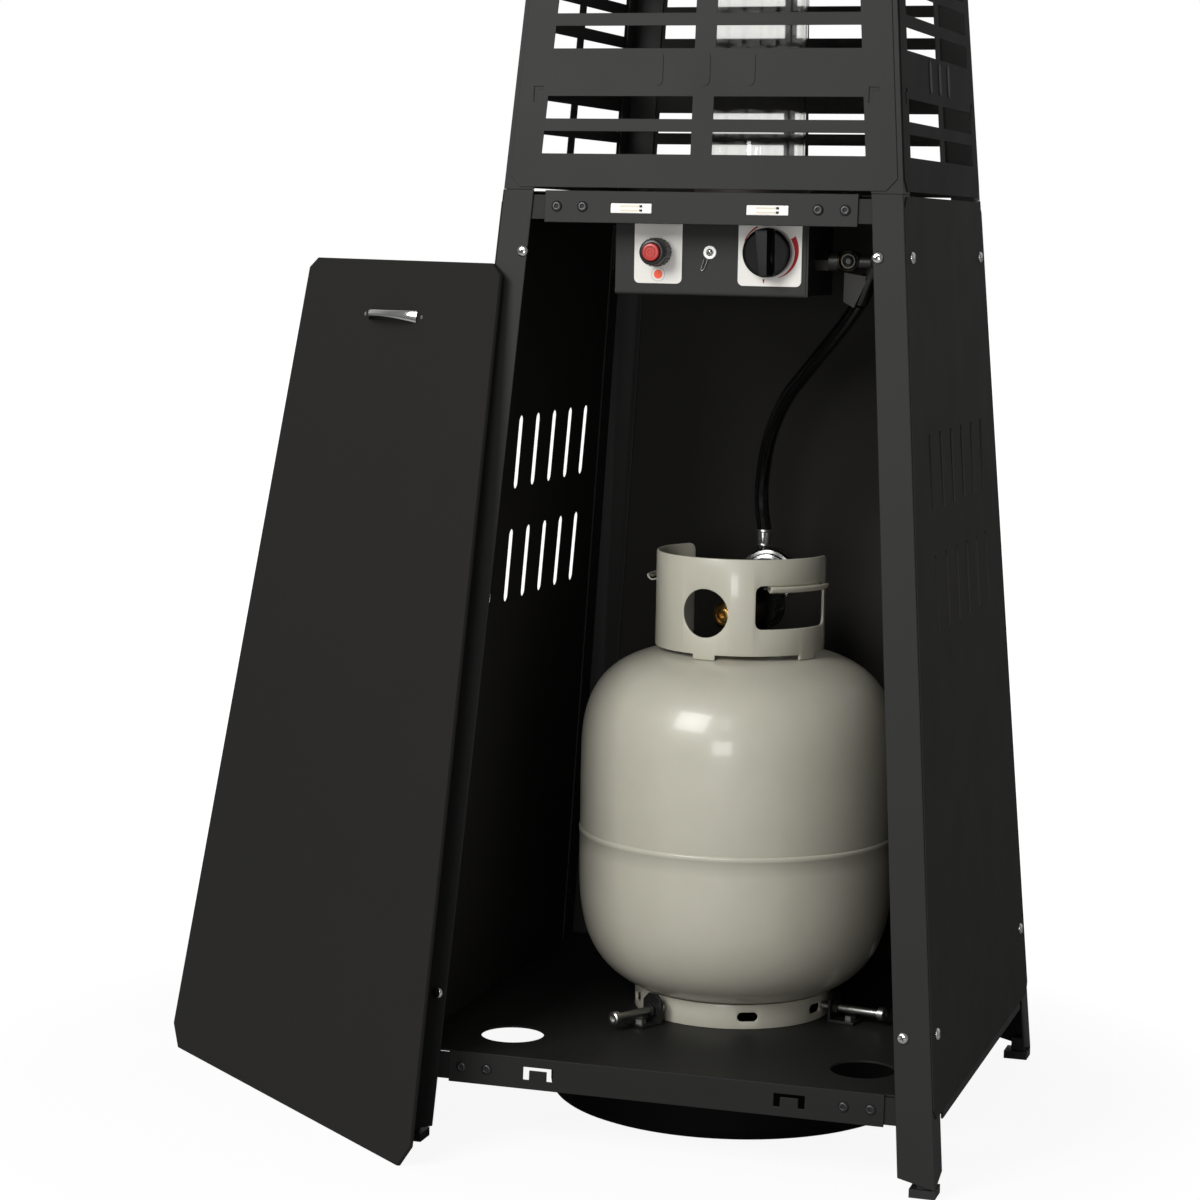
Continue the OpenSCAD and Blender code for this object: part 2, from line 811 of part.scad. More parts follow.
module front_panel() {
    color("#2c2b2a")
        stand()
            on_door()
                difference() {
                    translate([0, 0, -door_edge])
                        linear_extrude(door_edge)
                            polygon(door_outline(0));
                    translate([0, 0, -door_edge - 1])
                        linear_extrude(door_edge + 1 - door_sheet)
                            polygon(door_outline(door_sheet));
                    for (end = [-1, 1])
                        translate([end * handle_hole_x, handle_y, -10])
                            cylinder(d = 4 + 2 * hole_gap, h = 20);
                }
}

handle_outer = (handle_len * handle_len / 4 + handle_rise * handle_rise) / (2 * handle_rise);
handle_inner = handle_outer - handle_t;
handle_sink = handle_outer - handle_rise;
handle_foot = sqrt(handle_inner * handle_inner - handle_sink * handle_sink);
handle_hole_x = (handle_len / 2 + handle_foot) / 2;

module panel_handle() {
    color("#d4d4d2")
        stand()
            on_door()
                translate([0, handle_y, 0])
                    intersection() {
                        translate([0, handle_w / 2, -handle_sink])
                            rotate([90, 0, 0])
                                difference() {
                                    cylinder(r = handle_outer, h = handle_w, $fn = 96);
                                    translate([0, 0, -1])
                                        cylinder(r = handle_inner, h = handle_w + 2, $fn = 96);
                                }
                        translate([-handle_len, -handle_w, 0])
                            cube([2 * handle_len, 2 * handle_w, 2 * handle_rise]);
                    }
}

module handle_screws() {
    color("#c9c9c6")
        stand()
            on_door()
                for (end = [-1, 1])
                    translate([end * handle_hole_x, handle_y, 0]) {
                        translate([0, 0, -door_sheet - 2.4])
                            cylinder(d = 8, h = 2.4);
                        translate([0, 0, -door_sheet - 0.5])
                            cylinder(d = 4, h = door_sheet + 0.5);
                    }
}

// Two bent tongues that drop into the board's slots
module panel_hooks() {
    width = hook_tongue_w - 3;
    hook_y = 14;
    color("#2c2b2a")
        stand()
            on_door()
                for (end = [-1, 1])
                    translate([end * hook_x - width / 2, hook_y, -door_sheet]) {
                        translate([0, 0, -2])
                            cube([width, 12, 2]);
                        translate([0, 8, -7])
                            cube([width, 4, 6]);
                        translate([0, 1, -9])
                            cube([width, 11, 2.5]);
                    }
}

module control_box() {
    low = box_bottom;
    high = plate_z;
    half = box_w / 2;
    color("#333332")
        stand()
            difference() {
                translate([-half, -box_front, low])
                    cube([box_w, box_depth, high - low]);
                translate([-half + box_t, -box_front + box_t, low + box_t])
                    cube([box_w - 2 * box_t, box_depth - 2 * box_t, high - low]);
                front_hole(igniter_x, control_z, igniter_barrel + 2 * hole_gap);
                front_hole(knob_x, control_z, stem_d + 3);
                front_hole(0, control_z, screw_d + 2 * hole_gap);
                translate([half - 5, inlet_y, inlet_z])
                    rotate([0, 90, 0])
                        cylinder(d = inlet_d + 1, h = 10);
                translate([0, box_depth - box_front - 5, pipe_z])
                    rotate([-90, 0, 0])
                        cylinder(d = pipe_d + 2, h = 10);
            }
}

igniter_barrel = igniter_d - 3;
pipe_z = inlet_z + 2;

module front_hole(x, z, d) {
    translate([x, -box_front - 5, z])
        rotate([-90, 0, 0])
            cylinder(d = d, h = 10);
}

// A label plate with round lower corners on the front of the box
module label_plate(x, width, hole_d) {
    r = 6;
    translate([x, -box_front, 0])
        rotate([90, 0, 0])
            linear_extrude(plate_t)
                difference() {
                    union() {
                        translate([-width / 2, plate_bottom + r])
                            square([width, plate_h - r]);
                        translate([-width / 2 + r, plate_bottom])
                            square([width - 2 * r, plate_h]);
                        for (end = [-1, 1])
                            translate([end * (width / 2 - r), plate_bottom + r])
                                circle(r = r);
                    }
                    translate([0, control_z])
                        circle(d = hole_d);
                }
}

module igniter_plate() {
    color("#dcd9d4")
        stand()
            label_plate(igniter_x, igniter_plate_w, igniter_barrel + 2 * hole_gap);
}

module knob_plate() {
    color("#dcd9d4")
        stand()
            label_plate(knob_x, knob_plate_w, stem_d + 3);
}

module igniter_body() {
    front = -box_front - plate_t - igniter_out;
    barrel_len = igniter_out + 45;
    grip = 24;
    color("#141414")
        stand()
            translate([igniter_x, front, control_z])
                rotate([-90, 0, 0])
                    difference() {
                        union() {
                            cylinder(d = igniter_d, h = igniter_out);
                            cylinder(d = igniter_barrel, h = barrel_len);
                        }
                        translate([0, 0, -1])
                            cylinder(d = button_d + 2 * run_gap, h = 21);
                        for (i = [0:grip - 1])
                            rotate([0, 0, 360 / grip * i])
                                translate([igniter_d / 2, 0, 3])
                                    cylinder(r = 0.7, h = igniter_out - 6, $fn = 16);
                    }
}

module igniter_button() {
    front = -box_front - plate_t - igniter_out;
    proud = button_stroke;
    color("#c8453c")
        stand()
            translate([igniter_x, front - proud, control_z])
                rotate([-90, 0, 0])
                    cylinder(d = button_d, h = 16);
}

stem_front = -box_front - plate_t - knob_push - 1;
stem_back = inlet_y - 10;
boss_front = -box_front + box_t + seat_gap;

module valve_stem() {
    stem_in = 14;
    color("#b5a36a")
        stand()
            translate([knob_x, stem_front - stem_in, control_z])
                rotate([-90, 0, 0])
                    cylinder(d = stem_d, h = stem_back - stem_front + stem_in);
}

module gas_knob() {
    bar_w = 11;
    bore = 15;
    color("#0d0d0d")
        stand()
            translate([knob_x, stem_front, control_z])
                rotate([90, 0, 0])
                    difference() {
                        union() {
                            cylinder(d = knob_d, h = knob_disc);
                            intersection() {
                                cylinder(d = knob_d - 2, h = knob_disc + knob_grip);
                                translate([-bar_w / 2, -knob_d / 2, 0])
                                    cube([bar_w, knob_d, knob_disc + knob_grip]);
                            }
                        }
                        translate([0, 0, -1])
                            cylinder(d = stem_d + 2 * run_gap, h = bore + 1);
                    }
}

module gas_valve() {
    body = [40, 36, 40];
    color("#a9a9a6")
        stand()
            difference() {
                union() {
                    translate([knob_x - body[0] / 2, inlet_y - body[1] / 2, control_z - 22])
                        cube(body);
                    translate([knob_x, boss_front, control_z])
                        rotate([-90, 0, 0])
                            cylinder(d = 22, h = inlet_y - boss_front);
                    translate([knob_x, inlet_y, inlet_z])
                        rotate([0, 90, 0])
                            cylinder(d = inlet_d, h = box_w / 2 + 10 - knob_x);
                }
                translate([knob_x, boss_front - 1, control_z])
                    rotate([-90, 0, 0])
                        cylinder(d = stem_d + 2 * run_gap, h = stem_back + knob_push + 2 - boss_front);
            }
}

module box_screw() {
    color("#d0d0ce")
        stand()
            translate([0, -box_front, control_z])
                rotate([90, 0, 0]) {
                    cylinder(d = 13, h = 1.2);
                    translate([0, 0, 1.2])
                        dome_screw(8.5, screw_d, 1.2 + box_t + 4, 2.4);
                }
}

module inlet_nut() {
    across = 19;
    color("#b9b9b6")
        stand()
            translate([box_w / 2, inlet_y, inlet_z])
                rotate([0, 90, 0])
                    difference() {
                        cylinder(d = across / cos(30), h = 10, $fn = 6);
                        translate([0, 0, -1])
                            cylinder(d = inlet_d + 2 * run_gap, h = 12);
                    }
}

module inlet_elbow() {
    start = box_w / 2 + 10;
    color("#b08a3e")
        stand() {
            translate([start, inlet_y, inlet_z])
                rotate([0, 90, 0]) {
                    cylinder(d = 18, h = 11);
                    cylinder(d = 15, h = 22);
                    cylinder(d = inlet_d, h = elbow_x - start);
                }
            translate(elbow_end) {
                sphere(d = 16);
                rotate([0, 180 + elbow_tilt, elbow_az])
                    cylinder(d = 14, h = elbow_out);
            }
        }
}

function unit(v) = v / norm(v);
function hose_way(i) = i == 0 ? [0, 0, 1]
    : i == len(hose_route) - 1 ? hose_dir
    : unit(hose_route[i + 1] - hose_route[i - 1]);

// One ring of the hose, square to the way it runs
function hose_ring(i) = let (
        way = hose_way(i),
        side = unit(cross(way, [1, 1, 0])),
        other = cross(way, side))
    [for (k = [0:ring_sides - 1]) let (a = 360 / ring_sides * k)
        hose_route[i] + hose_d / 2 * (cos(a) * side + sin(a) * other)];

module gas_hose() {
    rings = len(hose_route);
    last = (rings - 1) * ring_sides;
    points = [for (i = [0:rings - 1]) each hose_ring(i)];
    walls = [for (i = [0:rings - 2], k = [0:ring_sides - 1]) let (
            a = i * ring_sides + k,
            b = i * ring_sides + (k + 1) % ring_sides)
        each [[a, b, b + ring_sides], [a, b + ring_sides, a + ring_sides]]];
    low_end = [for (k = [1:ring_sides - 2]) [0, k + 1, k]];
    high_end = [for (k = [1:ring_sides - 2]) [last, last + k, last + k + 1]];
    color("#0c0c0c")
        stand()
            polyhedron(points = points, faces = concat(walls, low_end, high_end), convexity = 4);
}

// A sleeve with two crimped grooves
module ferrule(length) {
    difference() {
        cylinder(d = ferrule_d, h = length);
        for (z = [0.3, 0.6])
            translate([0, 0, length * z])
                difference() {
                    cylinder(d = ferrule_d + 2, h = 2);
                    translate([0, 0, -1])
                        cylinder(d = ferrule_d - 1.2, h = 4);
                }
    }
}

module hose_ferrules() {
    color("#c3c3c0")
        stand() {
            translate(hose_start - [0, 0, low_ferrule_len])
                ferrule(low_ferrule_len);
            translate(elbow_end - elbow_out * hose_dir)
                rotate([0, 180 + elbow_tilt, elbow_az])
                    ferrule(ferrule_len);
        }
}

// A blank tag: a band round the upper ferrule and a flat tab
module hose_tag() {
    band_d = ferrule_d + 2 * seat_gap;
    color("#6d6d69")
        stand()
            translate(elbow_end - (elbow_out + 3) * hose_dir)
                rotate([0, 180 + elbow_tilt, elbow_az])
                    rotate([0, 0, -20])
                        difference() {
                            union() {
                                cylinder(d = band_d + 2 * tag_t, h = 12);
                                translate([-band_d / 2 - tag_t, -tag_w, 0])
                                    cube([tag_t, tag_w, tag_len]);
                            }
                            translate([0, 0, -1])
                                cylinder(d = band_d, h = tag_len + 2);
                        }
}

module along_outlet(distance, lift = 0) {
    at_tank(outlet_az)
        translate([distance, 0, outlet_z + lift])
            rotate([0, 90, 0])
                children();
}

module regulator() {
    barb_z = outlet_z + disc_lift + regulator_r - 10;
    color("#b4b4b0")
        stand() {
            along_outlet(thread_end)
                cylinder(r = nipple_r, h = disc_start - thread_end + 2);
            along_outlet(nut_end + seat_gap)
                cylinder(r = 14, h = disc_end - nut_end - seat_gap);
            along_outlet(disc_start, disc_lift)
                cylinder(r = regulator_r, h = disc_end - disc_start);
            along_outlet(disc_end - 1, disc_lift)
                cylinder(r = regulator_r - 6, h = 7);
            at_tank()
                translate([hose_start[0] - tank_x, hose_start[1] - tank_y, barb_z])
                    cylinder(d = ferrule_d - 3, h = hose_low - low_ferrule_len - board_z - barb_z);
        }
}

module coupling_nut() {
    ribs = 12;
    color("#141414")
        stand()
            along_outlet(nut_start)
                difference() {
                    cylinder(r = nut_r, h = nut_end - nut_start);
                    translate([0, 0, -1])
                        cylinder(r = thread_r + run_gap, h = nut_end - nut_start - nut_wall + 1);
                    cylinder(r = nipple_r + run_gap, h = nut_end);
                    for (i = [0:ribs - 1])
                        rotate([0, 0, 360 / ribs * i])
                            translate([nut_r + 1.5, 0, -1])
                                cylinder(r = 3.5, h = nut_end - nut_start - 5, $fn = 24);
                }
}

module tank_valve() {
    body_h = 49;
    color("#b78d3f")
        stand() {
            at_tank() {
                translate([0, 0, boss_top]) {
                    cylinder(d = 36, h = 10, $fn = 6);
                    cylinder(d = 30, h = body_h);
                    cylinder(d = 10, h = body_h + 26);
                }
                translate([0, 0, outlet_z - 5])
                    rotate([0, 90, -115])
                        cylinder(d = 19, h = 29);
            }
            along_outlet(0)
                cylinder(r = thread_r, h = thread_end);
        }
}

module tank_handwheel() {
    lobes = 6;
    wheel_low = boss_top + 56;
    wheel_r = handwheel_d / 2;
    color("#1a1a1a")
        stand()
            at_tank()
                translate([0, 0, wheel_low])
                    difference() {
                        union() {
                            cylinder(r = wheel_r, h = 14);
                            cylinder(d = 22, h = 16);
                        }
                        for (i = [0:lobes - 1])
                            rotate([0, 0, 360 / lobes * i])
                                translate([wheel_r + 5, 0, -1])
                                    cylinder(r = 10, h = 20);
                        translate([0, 0, 8])
                            difference() {
                                cylinder(r = wheel_r - 9, h = 10);
                                cylinder(d = 22, h = 10);
                            }
                        translate([0, 0, -1])
                            cylinder(d = 10 + 2 * run_gap, h = 20);
                    }
}

function tank_outline(wall) = let (
        share = (tank_r - wall) / tank_r,
        low_rise = head_low_rise - wall,
        high_rise = head_high_rise - wall)
    concat([[0, head_low - low_rise]],
        [for (i = [len(head_steps) - 1:-1:0])
            [share * head_r(head_steps[i]), head_low - low_rise * head_steps[i]]],
        [for (i = [0:len(head_steps) - 1])
            [share * head_r(head_steps[i]), head_high + high_rise * head_steps[i]]],
        [[0, head_high + high_rise]]);

module tank_body() {
    seam_h = 6;
    color("#b8b5a6")
        stand()
            at_tank()
                difference() {
                    union() {
                        rotate_extrude($fn = 96)
                            polygon(tank_outline(0));
                        translate([0, 0, seam_z - seam_h / 2])
                            cylinder(r = tank_r + 0.8, h = seam_h, $fn = 96);
                        translate([0, 0, tank_top - 10])
                            cylinder(d = 50, h = boss_top - tank_top + 10);
                    }
                    rotate_extrude($fn = 96)
                        polygon(tank_outline(tank_wall));
                }
}

function fan(from, to) = concat([[0, 0]],
    [for (a = [from, from + (to - from) / 3, to - (to - from) / 3, to]) 300 * [cos(a), sin(a)]]);

module wedge(from, to, z0, z1) {
    translate([0, 0, z0])
        linear_extrude(z1 - z0)
            polygon(fan(from, to));
}

// Two grip windows, each with its upper edge rolled outwards
collar_open = [0, 140];
window_right = [-66, -5];
window_left = [155, 199];
window_low = collar_low + 26;
window_high = collar_low + 68;
window_corner = 6.5;
lip_r = 3.5;

// A flat shape pushed out through the collar: x runs round it and y up
module radial_cut(angle) {
    rotate([0, 0, angle])
        translate([collar_r / 2, 0, 0])
            rotate([90, 0, 90])
                linear_extrude(collar_r)
                    children();
}

arc_steps = [0:15:90];

module grip_window(open) {
    half = collar_r * sin((open[1] - open[0]) / 2);
    a = half - window_corner;
    low = window_low + window_corner;
    high = window_high - window_corner;
    radial_cut((open[0] + open[1]) / 2)
        polygon(concat(
            [for (t = arc_steps) [a + window_corner * cos(t), high + window_corner * sin(t)]],
            [for (t = arc_steps) [-a - window_corner * sin(t), high + window_corner * cos(t)]],
            [for (t = arc_steps) [-a - window_corner * cos(t), low - window_corner * sin(t)]],
            [for (t = arc_steps) [a + window_corner * sin(t), low - window_corner * cos(t)]]));
}

// Takes a corner off the collar's end
module end_corner(angle, into, z, down) {
    r = 7;
    radial_cut(angle)
        polygon([[(r + 3) * into, z + down], [r * 0.45 * into, z - r * 0.14 * down],
            [r * 0.14 * into, z - r * 0.45 * down], [-into, z - (r + 3) * down],
            [-4 * into, z - (r + 3) * down], [-4 * into, z + down]]);
}

module collar_lip(from, to) {
    near = lip_r + hole_gap;
    far = lip_r + collar_t - hole_gap;
    intersection() {
        translate([0, 0, window_high])
            rotate_extrude($fn = 96)
                translate([collar_r + lip_r, 0]) {
                    intersection() {
                        difference() {
                            circle(r = far);
                            circle(r = near);
                        }
                        translate([-20, -20])
                            square([40, 20]);
                    }
                    translate([-far, -0.1])
                        square([far - near, 2]);
                }
        wedge(from, to, 0, 600);
    }
}

module tank_collar() {
    color("#b8b5a6")
        stand()
            at_tank() {
                difference() {
                    translate([0, 0, collar_low])
                        cylinder(r = collar_r, h = collar_h, $fn = 96);
                    translate([0, 0, collar_low - 1])
                        cylinder(r = collar_r - collar_t, h = collar_h + 2, $fn = 96);
                    wedge(collar_open[0], collar_open[1], 0, 600);
                    grip_window(window_right);
                    grip_window(window_left);
                    for (z = [collar_low + collar_h, collar_low], end = [0, 1])
                        end_corner(collar_open[end], end == 0 ? -1 : 1, z,
                            z > collar_low ? 1 : -1);
                    translate([0, 0, collar_low + 40])
                        rotate([0, 90, -100.5])
                            cylinder(d = 47, h = 200);
                }
                collar_lip(window_right[0] + 8, window_right[1] - 7);
                collar_lip(window_left[0] + 6, window_left[1] - 7);
                for (angle = [-100.5, -25, 170])
                    intersection() {
                        translate([0, 0, tab_foot])
                            difference() {
                                cylinder(r = collar_r, h = collar_low - tab_foot + 1, $fn = 96);
                                translate([0, 0, -1])
                                    cylinder(r = collar_r - collar_t, h = 40, $fn = 96);
                            }
                        wedge(angle - 8, angle + 8, 0, 600);
                    }
            }
}

module tank_foot_ring() {
    slot_z = 12;
    color("#b8b5a6")
        stand()
            at_tank()
                difference() {
                    cylinder(r = ring_r, h = ring_top, $fn = 96);
                    translate([0, 0, -1])
                        cylinder(r = ring_r - collar_t, h = ring_top + 2, $fn = 96);
                    for (angle = [-66.5, -18.5, 110, 160, 210])
                        rotate([0, 0, angle])
                            foot_ring_slot(slot_z);
                }
}

module foot_ring_slot(z) {
    for (end = [-1, 1])
        translate([50, end * 5.5, z])
            rotate([0, 90, 0])
                cylinder(d = 9, h = 80);
    translate([50, -5.5, z - 4.5])
        cube([80, 11, 9]);
}

module clamp_brackets() {
    color("#222221")
        stand()
            for (angle = clamp_angles)
                at_tank(angle)
                    translate([clamp_plate_r, 0, 0])
                        clamp_bracket();
}

module clamp_bracket() {
    half = bracket_w / 2;
    cut = 7;
    foot_len = 28;
    difference() {
        union() {
            rotate([90, 0, 90])
                linear_extrude(bracket_t)
                    polygon([[-half, 0], [half, 0], [half, bracket_h - cut], [half - cut, bracket_h],
                        [cut - half, bracket_h], [-half, bracket_h - cut]]);
            translate([0, -half, 0])
                cube([foot_len, bracket_w, bracket_t]);
            translate([bracket_t - 0.5, 0, clamp_bolt_z])
                rotate([0, 90, 0])
                    cylinder(d = clamp_bolt_d + 6, h = 5, $fn = 6);
        }
        translate([-1, 0, clamp_bolt_z])
            rotate([0, 90, 0])
                cylinder(d = clamp_bolt_d + 2 * run_gap, h = bracket_t + 10);
        translate([19, 0, -1])
            cylinder(d = clamp_bolt_d - 2 + 2 * hole_gap, h = bracket_t + 2);
    }
}

module bracket_screws() {
    thread = clamp_bolt_d - 2;
    color("#c4c4c1")
        stand()
            for (angle = clamp_angles)
                at_tank(angle)
                    translate([clamp_plate_r + 19, 0, bracket_t]) {
                        cylinder(d = 11.5, h = 4, $fn = 6);
                        translate([0, 0, -bracket_t - frame_t - 4])
                            cylinder(d = thread, h = bracket_t + frame_t + 4.5);
                    }
}

// A bolt with a round head and a six-sided recess
module clamp_bolt(angle) {
    head_d = clamp_bolt_d + 5;
    color("#c9c9c6")
        stand()
            at_tank(angle)
                translate([clamp_tip_r, 0, clamp_bolt_z])
                    rotate([0, 90, 0])
                        difference() {
                            union() {
                                cylinder(d = clamp_bolt_d, h = clamp_bolt_len + 0.5);
                                translate([0, 0, clamp_bolt_len])
                                    cylinder(d = head_d, h = 5.5);
                                translate([0, 0, clamp_bolt_len + 5.4])
                                    cylinder(d1 = head_d, d2 = head_d - 3, h = 1.1);
                            }
                            translate([0, 0, clamp_bolt_len + 3.5])
                                cylinder(d = clamp_bolt_d - 1, h = 4, $fn = 6);
                        }
}

module clamp_bolt_1() {
    clamp_bolt(clamp_angles[0]);
}

module clamp_bolt_2() {
    clamp_bolt(clamp_angles[1]);
}

module clamp_bolt_3() {
    clamp_bolt(clamp_angles[2]);
}

// Height of a row's lower edge
function row_z(row) = lower_top + slot_first + row * (slot_h + slot_gap);

// One slot of a guard: its outer end follows the corner line
module guard_slot(z, end) {
    a = half_at(z) - slot_inset;
    b = half_at(z + slot_h) - slot_inset;
    polygon([[end * guard_bar / 2, slope(z)], [end * a, slope(z)],
        [end * b, slope(z + slot_h)], [end * guard_bar / 2, slope(z + slot_h)]]);
}

// A hook-shaped slit, where the guard hangs on its post
module hook_slit(z, end) {
    x = end * (half_at(z) - 24);
    translate([x - 4.5, slope(z) + 11])
        square([9, 3]);
    translate([x - 4.5, slope(z)])
        square([3, 13]);
}

module guard(side) {
    color("#424240")
        stand()
            on_face(side)
                linear_extrude(guard_t)
                    difference() {
                        polygon(cut_quad(guard_low, guard_high, guard_inset, 11));
                        for (row = [0:row_count - 1], end = [-1, 1])
                            if (row != 2)
                                guard_slot(row_z(row), end);
                        for (row = [2, 14, 26], end = [-1, 1])
                            hook_slit(row_z(row) - 16.6, end);
                    }
}

module guard_front() {
    guard(0);
}

module guard_right() {
    guard(1);
}

module guard_rear() {
    guard(2);
}

module guard_left() {
    guard(3);
}

module burner_plate() {
    side_half = half_at(plate_top) - 2 * frame_t - seat_gap;
    front_half = half_at(plate_top) - rail_lip - 1;
    skirt_low = lower_top - 30;
    skirt_half = half_at(plate_top) - 2 * frame_t - 8;
    color("#262624")
        stand()
            difference() {
                union() {
                    translate([-side_half, -front_half, plate_z])
                        cube([2 * side_half, front_half + side_half, box_t]);
                    for (side = [1, 2, 3])
                        face_sheet(side, -2 * frame_t, box_t,
                            face_quad(skirt_low, plate_top - 0.2, skirt_half, skirt_half));
                }
                translate([0, 0, plate_z - 5])
                    cylinder(d = throat_d + 2, h = 20);
            }
}

throat_d = 28;
throat_low = plate_z - 16;

module burner_head() {
    color("#8d8b86")
        stand() {
            translate([0, 0, plate_top])
                cylinder(d = burner_d, h = burner_h);
            translate([0, 0, throat_low])
                cylinder(d = throat_d, h = plate_top - throat_low + 1);
            translate([0, 0, plate_top + burner_h - 1])
                cylinder(d1 = burner_d - 4, d2 = 20, h = 7);
        }
}

// A run of pipe with a ball at its far end
module pipe_run(from, to) {
    v = to - from;
    translate(from)
        rotate([0, acos(v[2] / norm(v)), atan2(v[1], v[0])])
            cylinder(d = pipe_d, h = norm(v));
}

module burner_pipe() {
    stops = [[knob_x, inlet_y + 18, pipe_z], [knob_x, -62, pipe_z], [0, -62, pipe_z],
        [0, 0, pipe_z], [0, 0, throat_low]];
    color("#9c9a92")
        stand() {
            for (i = [0:3])
                pipe_run(stops[i], stops[i + 1]);
            for (i = [1:3])
                translate(stops[i])
                    sphere(d = pipe_d);
        }
}

module pilot_burner() {
    back = -burner_d / 2 - 1.5;
    color("#a5a39c")
        stand() {
            translate([-9, back - 6, plate_top])
                cube([18, 6, 2]);
            for (i = [-1, 0, 1])
                translate([6 * i, back - 3, plate_top + 1])
                    cylinder(d = 4 + i, h = burner_h + 5 + 3 * i);
        }
}

module tube_seal() {
    outer = tube_d / 2 + 6;
    color("#2a2322")
        stand()
            translate([0, 0, plate_top])
                difference() {
                    cylinder(r = outer, h = 14, $fn = 96);
                    translate([0, 0, tube_low - plate_top])
                        cylinder(r = tube_d / 2 + seat_gap, h = 20, $fn = 96);
                    translate([0, 0, -1])
                        cylinder(r = tube_d / 2 - tube_wall - 1, h = 20, $fn = 96);
                }
}

module glass_tube() {
    color("#e8e2dc")
        stand()
            translate([0, 0, tube_low])
                difference() {
                    cylinder(d = tube_d, h = tube_top - tube_low, $fn = 96);
                    translate([0, 0, -1])
                        cylinder(d = tube_d - 2 * tube_wall, h = tube_top, $fn = 96);
                }
}

module flame_screen() {
    r = tube_d / 2 - 3;
    slots = 12;
    color("#8a8883")
        stand()
            translate([0, 0, tube_top])
                difference() {
                    union() {
                        cylinder(r = tube_d / 2, h = 2, $fn = 96);
                        cylinder(r = r, h = screen_h, $fn = 96);
                    }
                    translate([0, 0, -1])
                        cylinder(r = r - 1, h = screen_h - 1, $fn = 96);
                    for (i = [0:slots - 1])
                        rotate([0, 0, 360 / slots * i])
                            translate([r - 5, -3.5, 12])
                                cube([10, 7, screen_h - 26]);
                }
}

module top_plate() {
    half = half_at(cap_z) - seat_gap;
    skirt_half = half_at(cap_z) - frame_t - 8;
    color("#383836")
        stand()
            difference() {
                union() {
                    translate([-half, -half, cap_z])
                        cube([2 * half, 2 * half, cap_t]);
                    for (side = [0:3])
                        face_sheet(side, -frame_t, cap_t,
                            face_quad(cap_z - 24, cap_z + 0.5, skirt_half, skirt_half));
                }
                translate([0, 0, cap_z - 5])
                    cylinder(d = tube_d + 1.4, h = 20, $fn = 96);
                for (x = [-1, 1], y = [-1, 1])
                    translate([x * stud_x, y * stud_x, cap_z - 5])
                        cylinder(d = stud_d + 2 * hole_gap, h = 20);
            }
}

module tapered_block(width, flat, low, rise) {
    translate([0, 0, low])
        linear_extrude(rise, scale = flat / width)
            square(width, center = true);
}

module reflector() {
    low = reflector_top - reflector_rise;
    inner = reflector_w - 2 * cap_t;
    color("#3a3a38")
        stand()
            difference() {
                union() {
                    tapered_block(reflector_w, reflector_flat, low, reflector_rise);
                    translate([-reflector_w / 2, -reflector_w / 2, low - reflector_rim])
                        cube([reflector_w, reflector_w, reflector_rim]);
                }
                tapered_block(inner, reflector_flat, low - cap_t, reflector_rise);
                translate([-inner / 2, -inner / 2, low - reflector_rim - 1])
                    cube([inner, inner, reflector_rim - cap_t + 1.01]);
                for (x = [-1, 1], y = [-1, 1])
                    translate([x * stud_x, y * stud_x, low])
                        cylinder(d = stud_d + 2 * hole_gap, h = reflector_rise + 10);
            }
}

module reflector_studs() {
    below = reflector_top - cap_t;
    color("#bfbfbc")
        stand()
            for (x = [-1, 1], y = [-1, 1])
                translate([x * stud_x, y * stud_x, 0]) {
                    translate([0, 0, cap_z - 8])
                        cylinder(d = stud_d, h = reflector_top + 5 - cap_z + 8);
                    translate([0, 0, cap_z + cap_t])
                        cylinder(d = 11.5, h = 5, $fn = 6);
                    translate([0, 0, below - 5])
                        cylinder(d = 11.5, h = 5, $fn = 6);
                    translate([0, 0, reflector_top])
                        cylinder(d = 11.5, h = 5, $fn = 6);
                    translate([0, 0, reflector_top + 5])
                        sphere(d = stud_d);
                }
}

foot_pads();
lower_posts();
bottom_board();
frame_brackets();
black_screws();
ballast_pan();
side_panel_left();
side_panel_right();
rear_panel();
frame_screws();
top_rail();
magnetic_catches();
catch_strips();
front_panel();
panel_handle();
handle_screws();
panel_hooks();
control_box();
igniter_plate();
knob_plate();
igniter_body();
igniter_button();
gas_knob();
valve_stem();
gas_valve();
box_screw();
inlet_nut();
inlet_elbow();
gas_hose();
hose_ferrules();
hose_tag();
regulator();
coupling_nut();
tank_valve();
tank_handwheel();
tank_body();
tank_collar();
tank_foot_ring();
clamp_brackets();
bracket_screws();
clamp_bolt_1();
clamp_bolt_2();
clamp_bolt_3();
upper_posts();
guard_front();
guard_right();
guard_rear();
guard_left();
burner_plate();
burner_head();
burner_pipe();
pilot_burner();
tube_seal();
glass_tube();
flame_screen();
top_plate();
reflector();
reflector_studs();
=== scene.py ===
# %% [markdown]
# # A pyramid patio heater
# The heater is a tower of slotted guards round a flame tube, on a tapered cabinet that holds a
# gas cylinder. Its solids come from the CAD frame. This script gives them their finishes and
# rebuilds, with more detail, the pieces that a plain solid can't show.

# %% Load the frame
import math

import bmesh
import bpy
from mathutils import Matrix, Vector


